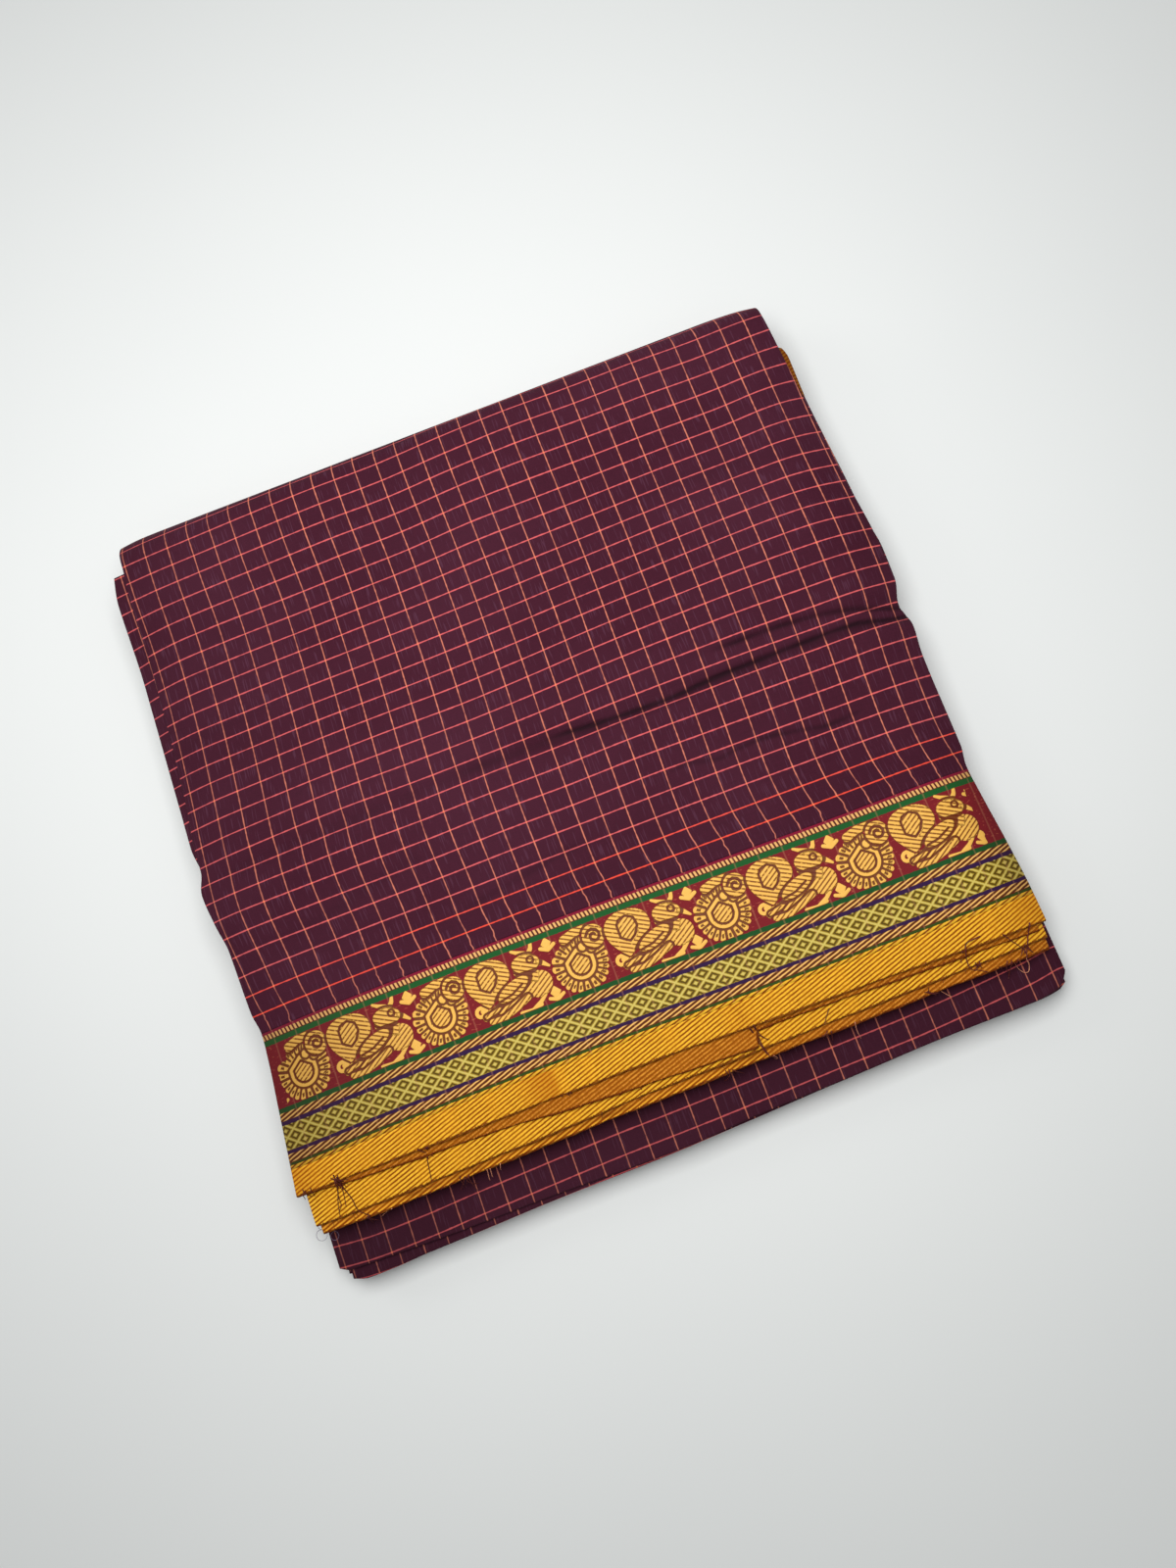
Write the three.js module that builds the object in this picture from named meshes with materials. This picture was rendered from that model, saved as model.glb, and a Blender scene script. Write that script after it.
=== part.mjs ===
// A nine-yard saree, folded flat for the shelf. Millimetres, +Z up, the folded saree rests on Z = 0.
//
// The cloth is first doubled across its width, so that its two selvedges meet and its centre line is
// a fold. It is then folded along its length into leaves, and the whole bundle is folded over once
// more. The bundle is therefore a lower and an upper stack of leaves, joined by one broad back fold.
// The selvedges end the upper stack at the front, and the centre folds end the lower one, a little
// further out. X runs along the border, and +Y points to the back fold.
import * as THREE from 'three';

// ---- Driving sizes ------------------------------------------------------------------------------
const CLOTH_LENGTH = 8230;
const LEAF_COUNT = 28;
const HALF_PANEL = CLOTH_LENGTH / LEAF_COUNT / 2;

const STACK = 13.5; // thickness of each of the two stacks, so also the radius of the back fold
const LEAF = 1.2; // one folded leaf of the cloth, two or more cloths together
const STRIP = 1.0; // a thinner leaf near the selvedges
const GAP = 0.3; // parting between pieces that lie on each other or meet at a seam
const SLIT = 0.3; // half of the parting between the two stacks

const BACK_FOLD = 144.9; // where the back fold starts, on the middle line
const BACK_SLANT = -0.017; // the back fold comes forward towards the right
const BORDER_SEAM = -58.6; // the checked body ends and the brocade border starts
const SELVEDGE_SEAM = -111.5; // the border ends and the plain twill selvedge starts
const UPPER_END = -92.6; // front end of the hidden layers in the upper stack
const LOWER_END = -114.4; // front end of the hidden layers in the lower stack
const UNDER_SEAM = 92; // the body leaf comes round the back fold and ends here, underneath
const UNDER_SETBACK = 1.5; // the bottom leaf ends this far behind the folds above it

const BULGE = 1.2; // how far a fold of the hidden layers stands out past the groove beside it
const UPPER_FOLDS = 3; // groups of folds that show at the sides of each stack
const FRONT_FOLDS = 4; // groups of centre folds that show at the front

// Drop of the top leaf towards its side folds: how wide the rounding is, and how far it goes down.
const LEFT_DROP = { width: 20, depth: 3.5 };
const RIGHT_DROP = { width: 26, depth: 7 };
const UNDER_DROP = { width: 12, depth: 2.2 };
const BACK_FILL = { from: 96, to: 144, share: 0.75 }; // the sides round off less towards the back fold

// How far each leaf stands out at the left and right past the nominal panel, from front to back.
const TOP_EDGES = [
  { at: -125, left: 6.4, right: 5.9 },
  { at: -109.5, left: 4.7, right: 5.4 },
  { at: -90.5, left: 2.6, right: 4 },
  { at: -70.5, left: 0.4, right: 2.3 },
  { at: -59.5, left: -0.3, right: 1.6 },
  { at: -50.5, left: 2, right: 3.3 },
  { at: -24.5, left: 2.4, right: 3.1 },
  { at: -12.5, left: 4.5, right: 3.2 },
  { at: 1.5, left: 6.3, right: 4.6 },
  { at: 10.5, left: 4, right: 3.1 },
  { at: 21.5, left: 3.8, right: 5.4 },
  { at: 35.5, left: 2.1, right: 5.6 },
  { at: 65.5, left: 0.1, right: 3.7 },
  { at: 95.5, left: -1, right: 2.1 },
  { at: 110, left: -1.2, right: 1.1 },
  { at: 131.5, left: -1.2, right: -0.4 },
  { at: 147, left: -0.7, right: -0.9 },
];
const LOWER_EDGES = [
  { at: -160, left: 1.0, right: 3.6 },
  { at: -115, left: 0.6, right: 3.0 },
  { at: -60, left: -1.6, right: 0.2 },
  { at: 0, left: 2.2, right: 2.0 },
  { at: 35, left: 0.6, right: 4.0 },
  { at: 95, left: -2.0, right: 1.2 },
  { at: 147, left: -1.6, right: 0 },
];
const LEFT_LEAF_EDGE = [
  { at: -93, out: -1.2 },
  { at: -40, out: -1 },
  { at: -12, out: 1.9 },
  { at: 1.5, out: 4 },
  { at: 10.5, out: 4.3 },
  { at: 21.5, out: 6.1 },
  { at: 40, out: 6 },
  { at: 95, out: 5.4 },
  { at: 131.5, out: 5.3 },
  { at: 146, out: 5 },
];
const RIGHT_LEAF_EDGE = [
  { at: -93, out: -1 },
  { at: -24.5, out: 1 },
  { at: 1.5, out: 2 },
  { at: 10.5, out: 2 },
  { at: 21.5, out: 5.8 },
  { at: 35.5, out: 6.3 },
  { at: 65.5, out: 4.6 },
  { at: 95.5, out: 3.1 },
  { at: 107.5, out: 2.5 },
];
const INNER_SELVEDGE_EDGE = [
  { at: 107.8, out: 2.6 },
  { at: 125, out: 2.4 },
  { at: 129.5, out: 1.2 },
  { at: 132, out: -2.2 },
  { at: 141.5, out: -2.2 },
];

// Front edges of the leaves, read along X: `front` is the edge's Y.
const SELVEDGE_FRONT = [
  { at: -154, front: -121.9 },
  { at: -9, front: -121.3 },
  { at: 31, front: -122.5 },
  { at: 91, front: -123.7 },
  { at: 153, front: -125.0 },
];
const REVERSE_FRONT = [
  { at: -150, front: -120.6 },
  { at: -107, front: -120.9 },
  { at: -101, front: -124.4 },
  { at: -69, front: -126.1 },
  { at: -39, front: -128.2 },
  { at: 34.2, front: -130.8 },
  { at: 35.2, front: -124.6 },
  { at: 91, front: -125.4 },
  { at: 150, front: -126.9 },
];
const SECOND_FRONT = [
  { at: -150, front: -135.8 },
  { at: -69, front: -134.2 },
  { at: -9, front: -132.2 },
  { at: 91, front: -131.6 },
  { at: 150, front: -130.6 },
];
const SECOND_REVERSE_FRONT = [
  { at: -150, front: -139.0 },
  { at: -109, front: -138.7 },
  { at: -69, front: -137.2 },
  { at: 31, front: -135.8 },
  { at: 150, front: -134.7 },
];
const SELVEDGE_EDGES_FRONT = [
  { at: -150, front: -136.4 },
  { at: 0, front: -134.2 },
  { at: 150, front: -131.8 },
];
const FIRST_FOLD_FRONT = [
  { at: -148.4, front: -154.6 },
  { at: -144, front: -156.4 },
  { at: -9, front: -156.7 },
  { at: 31, front: -154.7 },
  { at: 91, front: -152.6 },
  { at: 138, front: -151.0 },
  { at: 144.3, front: -150.0 },
  { at: 149.3, front: -147.4 },
  { at: 152.3, front: -142.2 },
];
const SECOND_FOLD_FRONT = [
  { at: -145.3, front: -159.2 },
  { at: -139, front: -160.6 },
  { at: -114, front: -160.5 },
  { at: -69, front: -159.6 },
  { at: -30, front: -158.4 },
  { at: 20, front: -156.9 },
  { at: 60, front: -154.4 },
  { at: 138, front: -151 },
  { at: 150.5, front: -147.2 },
];
const CENTRE_FOLDS_FRONT = [
  { at: -147, front: -157.4 },
  { at: -139, front: -159.6 },
  { at: -69, front: -158.6 },
  { at: -9, front: -156.6 },
  { at: 60, front: -153.4 },
  { at: 138, front: -150 },
  { at: 150, front: -145.8 },
];

// Broad hollows and swells of the top leaf.
const SWELLS = [
  { x: -57, y: 82, reachX: 42, reachY: 34, rise: -2.6 },
  { x: 116, y: 44, reachX: 38, reachY: 22, rise: 2.4 },
  { x: -119, y: -25, reachX: 45, reachY: 28, rise: 2.0 },
  { x: 120, y: -60, reachX: 50, reachY: 30, rise: -2.0 },
];
// Creases of the top leaf: each a soft trough from one end to the other.
const CREASES = [
  { fromX: -150, fromY: 4.5, toX: -30, toY: 8.5, depth: 0.9, reach: 4.5 },
  { fromX: -40, fromY: 9, toX: 156, toY: 6.8, depth: 1.7, reach: 4.5 },
  { fromX: 50, fromY: 18.2, toX: 156, toY: 11.4, depth: 1.3, reach: 3.6 },
];
const FRONT_FALL = { from: -45, to: -140, left: 2.2, right: 3.6 };

// Places across a leaf, as shares of its width, close together on the rounded sides.
const ACROSS = [
  0, 0.013, 0.037, 0.067, 0.15, 0.24, 0.33, 0.42, 0.51, 0.6,
  0.69, 0.78, 0.85, 0.907, 0.932, 0.953, 0.973, 0.99, 1,
];
const LEFT_REBATE = 0.037; // the left leaf lies between this share and its own edge
const RIGHT_REBATE = 0.953;
const REBATE_STEP = 0.005;
const BODY_ROWS = [
  -50.5, -38, -24.5, -12.5, -4, 1.5, 5, 8, 11, 14.5, 18.5, 23,
  29, 38, 52, 65.5, 80, 95.5, 110, 122, 131.5, 139,
];
const BORDER_ROWS = [-102, -92.6, -83, -75, -67];
const UNDER_ROWS = [40, -40];
const CURL_ROW = -118; // the row behind a selvedge's front edge
const TURN_STEPS = 10;

// ---- Reading the tables -------------------------------------------------------------------------
const { lerp, smoothstep } = THREE.MathUtils;

// Reads one column of a table at a place, on a smooth curve through its rows.
function read(rows, place, column) {
  const last = rows.length - 1;
  if (place <= rows[0].at) return rows[0][column];
  if (place >= rows[last].at) return rows[last][column];
  let k = 0;
  while (rows[k + 1].at < place) k += 1;
  const step = rows[k + 1].at - rows[k].at;
  const rise = (rows[k + 1][column] - rows[k][column]) / step;
  const before = k > 0 ? (rows[k][column] - rows[k - 1][column]) / (rows[k].at - rows[k - 1].at) : rise;
  const after =
    k + 1 < last ? (rows[k + 2][column] - rows[k + 1][column]) / (rows[k + 2].at - rows[k + 1].at) : rise;
  const slopeIn = before * rise > 0 ? (2 * before * rise) / (before + rise) : 0;
  const slopeOut = after * rise > 0 ? (2 * after * rise) / (after + rise) : 0;
  const t = (place - rows[k].at) / step;
  const start = rows[k][column] * (1 + 2 * t) * (1 - t) ** 2 + slopeIn * step * t * (1 - t) ** 2;
  return start + rows[k + 1][column] * t * t * (3 - 2 * t) - slopeOut * step * t * t * (1 - t);
}

// ---- The shape that every leaf follows ----------------------------------------------------------
// A station is a line across the bundle: { y } on the upper stack, { turn } an angle round the back
// fold, and { under } a Y on the lower stack. Reach is the distance out from the plane between the
// two stacks, so that leaves lie on each other at falling reach, all the way round the fold.
const turnLine = (x) => BACK_FOLD + BACK_SLANT * x;
const value = (given, x) => (typeof given === 'function' ? given(x) : given);

function place(x, station, reach) {
  if ('turn' in station) {
    const y = turnLine(x) + reach * Math.sin(station.turn);
    return new THREE.Vector3(x, y, STACK + reach * Math.cos(station.turn));
  }
  if ('under' in station) return new THREE.Vector3(x, value(station.under, x), STACK - reach);
  return new THREE.Vector3(x, value(station.y, x), STACK + reach);
}

function upperEdges(y) {
  return {
    left: -HALF_PANEL - read(TOP_EDGES, y, 'left'),
    right: HALF_PANEL + read(TOP_EDGES, y, 'right'),
  };
}

function lowerEdges(y) {
  return {
    left: -HALF_PANEL - read(LOWER_EDGES, y, 'left'),
    right: HALF_PANEL + read(LOWER_EDGES, y, 'right'),
  };
}

// Left and right edge of the outermost leaf at a station.
function edgesAt(station) {
  if ('under' in station) return lowerEdges(value(station.under, 0));
  if (!('turn' in station)) return upperEdges(value(station.y, 0));
  const share = smoothstep(station.turn, 0, Math.PI);
  const upper = upperEdges(BACK_FOLD);
  const lower = lowerEdges(BACK_FOLD);
  return { left: lerp(upper.left, lower.left, share), right: lerp(upper.right, lower.right, share) };
}

function roundOff(distance, drop) {
  const inside = Math.max(drop.width - distance, 0) / drop.width;
  return drop.depth * inside * inside;
}

function creaseDepth(x, y, crease) {
  const t = (x - crease.fromX) / (crease.toX - crease.fromX);
  const offset = (y - lerp(crease.fromY, crease.toY, t)) / crease.reach;
  const ends = smoothstep(t, -0.02, 0.25) * (1 - smoothstep(t, 1.0, 1.05));
  return crease.depth * ends * Math.exp(-offset * offset);
}

// Height of the upper stack's top above its nominal thickness.
function topRelief(x, y) {
  let rise = 0;
  for (const swell of SWELLS) {
    const dx = (x - swell.x) / swell.reachX;
    const dy = (y - swell.y) / swell.reachY;
    rise += swell.rise * Math.exp(-dx * dx - dy * dy);
  }
  rise *= 1 - smoothstep(y, 95, BACK_FOLD - 4);
  for (const crease of CREASES) rise -= creaseDepth(x, y, crease);
  const fall = lerp(FRONT_FALL.left, FRONT_FALL.right, (x + HALF_PANEL) / (2 * HALF_PANEL));
  return rise - fall * smoothstep(-y, -FRONT_FALL.from, -FRONT_FALL.to);
}

function upperDrop(x, y) {
  const { left, right } = upperEdges(y);
  const kept = 1 - BACK_FILL.share * smoothstep(y, BACK_FILL.from, BACK_FILL.to);
  return kept * (roundOff(x - left, LEFT_DROP) + roundOff(right - x, RIGHT_DROP));
}

function underDrop(x, y) {
  const { left, right } = lowerEdges(y);
  return roundOff(x - left, UNDER_DROP) + roundOff(right - x, UNDER_DROP);
}

// Reach of the outermost leaf's outer face.
function outerReach(x, station) {
  if ('under' in station) return STACK - underDrop(x, value(station.under, x));
  if ('turn' in station) {
    const share = smoothstep(station.turn, 0, Math.PI);
    return STACK - lerp(upperDrop(x, turnLine(x)), underDrop(x, turnLine(x)), share);
  }
  const y = value(station.y, x);
  return STACK + topRelief(x, y) - upperDrop(x, y);
}

// ---- Building closed solids ---------------------------------------------------------------------
function solid(name, points, faces, material) {
  const position = new Float32Array(points.flatMap((point) => [point.x, point.y, point.z]));
  const geometry = new THREE.BufferGeometry();
  geometry.setAttribute('position', new THREE.BufferAttribute(position, 3));
  const cross = new THREE.Vector3();
  let volume = 0;
  for (const [a, b, c] of faces) volume += points[a].dot(cross.crossVectors(points[b], points[c]));
  const outward = volume > 0 ? faces : faces.map(([a, b, c]) => [a, c, b]);
  geometry.setIndex(outward.flat());
  geometry.computeVertexNormals();
  const mesh = new THREE.Mesh(geometry, material);
  mesh.name = name;
  return mesh;
}

function quad(faces, a, b, c, d) {
  faces.push([a, b, c], [a, c, d]);
}

// A leaf: a wall between its outer face and the same face moved in by its thickness.
// `offset` is how far the outer face lies inside the outermost leaf's.
function leaf({ name, stations, offset, thickness, edges = edgesAt, across = ACROSS, reach = outerReach }, material) {
  const points = [];
  for (const depth of [offset, offset + thickness]) {
    for (const station of stations) {
      const { left, right } = edges(station);
      for (const share of across) {
        const x = lerp(left, right, share);
        points.push(place(x, station, reach(x, station) - depth));
      }
    }
  }
  const columns = across.length;
  const rows = stations.length;
  const inner = columns * rows;
  const at = (row, column) => row * columns + column;
  const faces = [];
  for (let row = 0; row < rows - 1; row += 1) {
    for (let column = 0; column < columns - 1; column += 1) {
      const [a, b, c, d] = [at(row, column), at(row, column + 1), at(row + 1, column + 1), at(row + 1, column)];
      quad(faces, a, b, c, d);
      quad(faces, a + inner, d + inner, c + inner, b + inner);
    }
  }
  const rim = [];
  for (let column = 0; column < columns - 1; column += 1) rim.push(at(0, column));
  for (let row = 0; row < rows - 1; row += 1) rim.push(at(row, columns - 1));
  for (let column = columns - 1; column > 0; column -= 1) rim.push(at(rows - 1, column));
  for (let row = rows - 1; row > 0; row -= 1) rim.push(at(row, 0));
  rim.forEach((point, k) => {
    const next = rim[(k + 1) % rim.length];
    quad(faces, next, point, point + inner, next + inner);
  });
  return solid(name, points, faces, material);
}

// Closed rings joined one to the next, with the two end rings closed by `cap`, a list of triangles.
function loft(name, rings, cap, material) {
  const count = rings[0].length;
  const faces = [];
  for (let k = 0; k < rings.length - 1; k += 1) {
    for (let m = 0; m < count; m += 1) {
      const next = (m + 1) % count;
      quad(faces, k * count + m, k * count + next, (k + 1) * count + next, (k + 1) * count + m);
    }
  }
  const end = (rings.length - 1) * count;
  for (const triangle of cap) {
    const [a, b, c] = [...triangle].sort((p, q) => p - q);
    faces.push([a, c, b]);
    faces.push([end + a, end + b, end + c]);
  }
  return solid(name, rings.flat(), faces, material);
}

// Three points for each fold of a layered side: its groove, and the two ends of its bulge.
function foldProfile(folds) {
  const profile = [];
  for (let fold = 0; fold < folds; fold += 1) {
    profile.push({ height: fold / folds, out: 0 });
    profile.push({ height: (fold + 0.22) / folds, out: BULGE });
    profile.push({ height: (fold + 0.78) / folds, out: BULGE });
  }
  profile.push({ height: 1, out: 0 });
  return profile;
}

// ---- The hidden layers, one rounded solid -------------------------------------------------------
const CORE_SIDE_INSET = 2.2; // the grooves between the folds lie this far inside the body leaf's edge

function upperStations(rows) {
  return rows.map((y) => ({ y }));
}

function turnStations(steps) {
  return Array.from({ length: steps + 1 }, (_, k) => ({ turn: (Math.PI * k) / steps }));
}

function hiddenLayers(material) {
  const stations = [
    ...upperStations([UPPER_END, ...BORDER_ROWS.slice(2), BORDER_SEAM, ...BODY_ROWS]),
    ...turnStations(TURN_STEPS),
    ...[UNDER_SEAM, ...UNDER_ROWS, LOWER_END].map((under) => ({ under })),
  ];
  const across = [...ACROSS, LEFT_REBATE + REBATE_STEP, RIGHT_REBATE - REBATE_STEP].sort((a, b) => a - b);
  const side = foldProfile(UPPER_FOLDS);
  const rings = stations.map((station) => {
    const edges = edgesAt(station);
    const left = edges.left + CORE_SIDE_INSET;
    const right = edges.right - CORE_SIDE_INSET;
    const rebated = 'y' in station || station.turn === 0;
    const under = (x, leaves) => ({ x, reach: outerReach(x, station) - leaves * (LEAF + GAP) });
    const top = across
      .filter((share) => share > 0.01 && share < 0.99)
      .map((share) => {
        const deep = rebated && (share <= LEFT_REBATE || share >= RIGHT_REBATE);
        return under(lerp(edges.left, edges.right, share), deep ? 2 : 1);
      });
    const leftTop = under(left - BULGE, rebated ? 2 : 1).reach;
    const rightTop = under(right + BULGE, rebated ? 2 : 1).reach;
    const leftSide = side.map(({ height, out }) => ({ x: left - out, reach: lerp(SLIT, leftTop, height) }));
    const rightSide = side
      .map(({ height, out }) => ({ x: right + out, reach: lerp(SLIT, rightTop, height) }))
      .reverse();
    return [...leftSide, ...top, ...rightSide].map(({ x, reach }) => place(x, station, reach));
  });
  const outline = rings[0].map((point) => new THREE.Vector2(point.x, point.z));
  return loft('hidden_layers', rings, THREE.ShapeUtils.triangulateShape(outline, []), material);
}

// ---- Stacks of folds that show at the front ------------------------------------------------------
// A block with layered front and sides: rings from its underside up to its top.
function layeredBlock({ name, folds, front, back, left, right, low, high }, material) {
  const rings = foldProfile(folds).map(({ height, out }) => {
    const inset = BULGE - out;
    const frontRow = [];
    const backRow = [];
    for (const share of ACROSS) {
      const x = lerp(left + inset, right - inset, share);
      const frontY = read(front, x, 'front') + inset;
      frontRow.push(new THREE.Vector3(x, frontY, lerp(low(x, frontY), high(x, frontY), height)));
      backRow.push(new THREE.Vector3(x, back, lerp(low(x, back), high(x, back), height)));
    }
    return [...frontRow, ...backRow.reverse()];
  });
  const count = ACROSS.length;
  const cap = [];
  for (let k = 0; k < count - 1; k += 1) {
    quad(cap, k, k + 1, 2 * count - 2 - k, 2 * count - 1 - k);
  }
  return loft(name, rings, cap, material);
}

// ---- Cloths --------------------------------------------------------------------------------------
function cloth(color, roughness) {
  return new THREE.MeshStandardMaterial({ color, roughness, metalness: 0 });
}
const checkedCloth = cloth(0x431a2a, 0.85);
const brocadeCloth = cloth(0xa5632f, 0.6);
const selvedgeCloth = cloth(0xe2900f, 0.6);
const reverseCloth = cloth(0xa8620f, 0.75);

// ---- Assembly ------------------------------------------------------------------------------------
const saree = new THREE.Group();

saree.add(hiddenLayers(checkedCloth));

saree.add(
  leaf(
    {
      name: 'body_leaf',
      stations: [
        ...upperStations([BORDER_SEAM + GAP / 2, ...BODY_ROWS]),
        ...turnStations(TURN_STEPS),
        { under: UNDER_SEAM + GAP / 2 },
      ],
      offset: 0,
      thickness: LEAF,
    },
    checkedCloth,
  ),
);

saree.add(
  leaf(
    {
      name: 'under_leaf',
      stations: [
        { under: UNDER_SEAM - GAP / 2 },
        ...UNDER_ROWS.map((under) => ({ under })),
        { under: LOWER_END },
        { under: (x) => read(CENTRE_FOLDS_FRONT, x, 'front') + UNDER_SETBACK },
      ],
      offset: 0,
      thickness: LEAF,
    },
    checkedCloth,
  ),
);

saree.add(
  leaf(
    {
      name: 'brocade_border',
      stations: upperStations([SELVEDGE_SEAM + GAP / 2, ...BORDER_ROWS, BORDER_SEAM - GAP / 2]),
      offset: 0,
      thickness: LEAF,
    },
    brocadeCloth,
  ),
);

saree.add(
  leaf(
    {
      name: 'selvedge_first',
      stations: [
        { y: (x) => read(SELVEDGE_FRONT, x, 'front') },
        { y: CURL_ROW },
        { y: SELVEDGE_SEAM - GAP / 2 },
      ],
      offset: 0,
      thickness: LEAF,
    },
    selvedgeCloth,
  ),
);

// The leaves under the first selvedge, each a step lower and starting in front of the hidden layers.
const STRIP_BACK = UPPER_END - GAP;
const STRIP_ROWS = [SELVEDGE_SEAM, BORDER_ROWS[0]];
const FRONT_LEAVES = [
  { name: 'reverse_first', front: REVERSE_FRONT, left: 1.0, right: 2.0, cloth: reverseCloth },
  { name: 'selvedge_second', front: SECOND_FRONT, left: 2.8, right: 2.7, cloth: selvedgeCloth },
  { name: 'reverse_second', front: SECOND_REVERSE_FRONT, left: 1.3, right: 1.8, cloth: reverseCloth },
];
const REVERSE_END = 34.7; // X where the first reverse strip ends in a cut edge
const CUT_HALF = 0.5; // half the width of the step at that cut
let depth = LEAF + GAP;
for (const row of FRONT_LEAVES) {
  const left = -HALF_PANEL - row.left;
  const right = HALF_PANEL + row.right;
  const shareAt = (x) => (x - left) / (right - left);
  const cut = row.front === REVERSE_FRONT ? [shareAt(REVERSE_END - CUT_HALF), shareAt(REVERSE_END + CUT_HALF)] : [];
  saree.add(
    leaf(
      {
        name: row.name,
        stations: [
          { y: (x) => read(row.front, x, 'front') },
          { y: CURL_ROW },
          ...upperStations(STRIP_ROWS),
          { y: STRIP_BACK },
        ],
        across: [...ACROSS, ...cut].sort((a, b) => a - b),
        edges: () => ({ left, right }),
        offset: depth,
        thickness: STRIP,
      },
      row.cloth,
    ),
  );
  depth += STRIP + GAP;
}

saree.add(
  layeredBlock(
    {
      name: 'selvedge_layers',
      folds: 2,
      front: SELVEDGE_EDGES_FRONT,
      back: STRIP_BACK,
      left: -HALF_PANEL - 0.6,
      right: HALF_PANEL + 1.0,
      low: () => STACK + SLIT,
      high: (x, y) => STACK + outerReach(x, { y }) - depth,
    },
    selvedgeCloth,
  ),
);

// The centre folds at the front of the lower stack: two leaves, and the folds under them.
const FOLD_BACK = LOWER_END - GAP;
const FOLD_TOP = 12.6; // height of the uppermost centre fold
const FOLD_LEVELS = [
  { name: 'centre_fold_first', front: FIRST_FOLD_FRONT, left: 1.4, right: 5.3, top: FOLD_TOP },
  { name: 'centre_fold_second', front: SECOND_FOLD_FRONT, left: -1.7, right: 2.4, top: FOLD_TOP - LEAF - GAP },
];
const FOLD_ROW = -138; // Y of the row between a centre fold's front and back
const FOLD_DROP = { width: 14, depth: 1.4 };
const foldTop = (x, top) =>
  top - roundOff(x + HALF_PANEL, FOLD_DROP) - roundOff(HALF_PANEL + 2 - x, FOLD_DROP);
for (const row of FOLD_LEVELS) {
  const left = -HALF_PANEL - row.left;
  const right = HALF_PANEL + row.right;
  saree.add(
    leaf(
      {
        name: row.name,
        stations: [{ y: (x) => read(row.front, x, 'front') }, { y: FOLD_ROW }, { y: FOLD_BACK }],
        edges: () => ({ left, right }),
        reach: (x) => foldTop(x, row.top) - STACK,
        offset: 0,
        thickness: LEAF,
      },
      checkedCloth,
    ),
  );
}

saree.add(
  layeredBlock(
    {
      name: 'centre_fold_layers',
      folds: FRONT_FOLDS,
      front: CENTRE_FOLDS_FRONT,
      back: FOLD_BACK,
      left: -HALF_PANEL - 0.4,
      right: HALF_PANEL + 2.6,
      low: (x, y) => LEAF + GAP + underDrop(x, y),
      high: (x) => foldTop(x, FOLD_TOP - 2 * (LEAF + GAP)),
    },
    checkedCloth,
  ),
);

// The leaves that peep out at the sides from under the body leaf.
const shareOfTop = (y, share) => {
  const { left, right } = upperEdges(y);
  return lerp(left, right, share);
};
const leafRows = (from, to) => [from, ...BODY_ROWS.filter((y) => y > from + 2 && y < to - 2), to];

saree.add(
  leaf(
    {
      name: 'left_leaf',
      stations: upperStations([UPPER_END, -75, BORDER_SEAM, ...leafRows(-50.5, 144)]),
      across: [0, 0.3, 0.6, 1],
      edges: ({ y }) => ({
        left: -HALF_PANEL - read(LEFT_LEAF_EDGE, y, 'out'),
        right: shareOfTop(y, LEFT_REBATE),
      }),
      offset: LEAF + GAP,
      thickness: LEAF,
    },
    checkedCloth,
  ),
);

saree.add(
  leaf(
    {
      name: 'right_leaf',
      stations: upperStations([UPPER_END, -75, BORDER_SEAM, ...leafRows(-50.5, 107.5)]),
      across: [0, 0.3, 0.6, 0.85, 1],
      edges: ({ y }) => ({
        left: shareOfTop(y, RIGHT_REBATE),
        right: HALF_PANEL + read(RIGHT_LEAF_EDGE, y, 'out'),
      }),
      offset: LEAF + GAP,
      thickness: LEAF,
    },
    checkedCloth,
  ),
);

saree.add(
  leaf(
    {
      name: 'inner_selvedge',
      stations: upperStations([107.8, 116, 125, 129.5, 133, 139]),
      across: [0, 0.3, 0.6, 0.85, 1],
      edges: ({ y }) => ({
        left: shareOfTop(y, RIGHT_REBATE),
        right: HALF_PANEL + read(INNER_SELVEDGE_EDGE, y, 'out'),
      }),
      offset: LEAF + GAP,
      thickness: LEAF,
    },
    selvedgeCloth,
  ),
);

export default saree;
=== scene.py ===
# %% [markdown]
# # A folded nine-yard saree
# The saree is one cloth, 1.2 m wide and 8.2 m long, folded flat for the shelf. Its solids come from
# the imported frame, in metres, and every cloth made here lies where its solid lies.

import json
import math

import bmesh
import bpy
import numpy as np
from mathutils import Matrix, Vector


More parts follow.
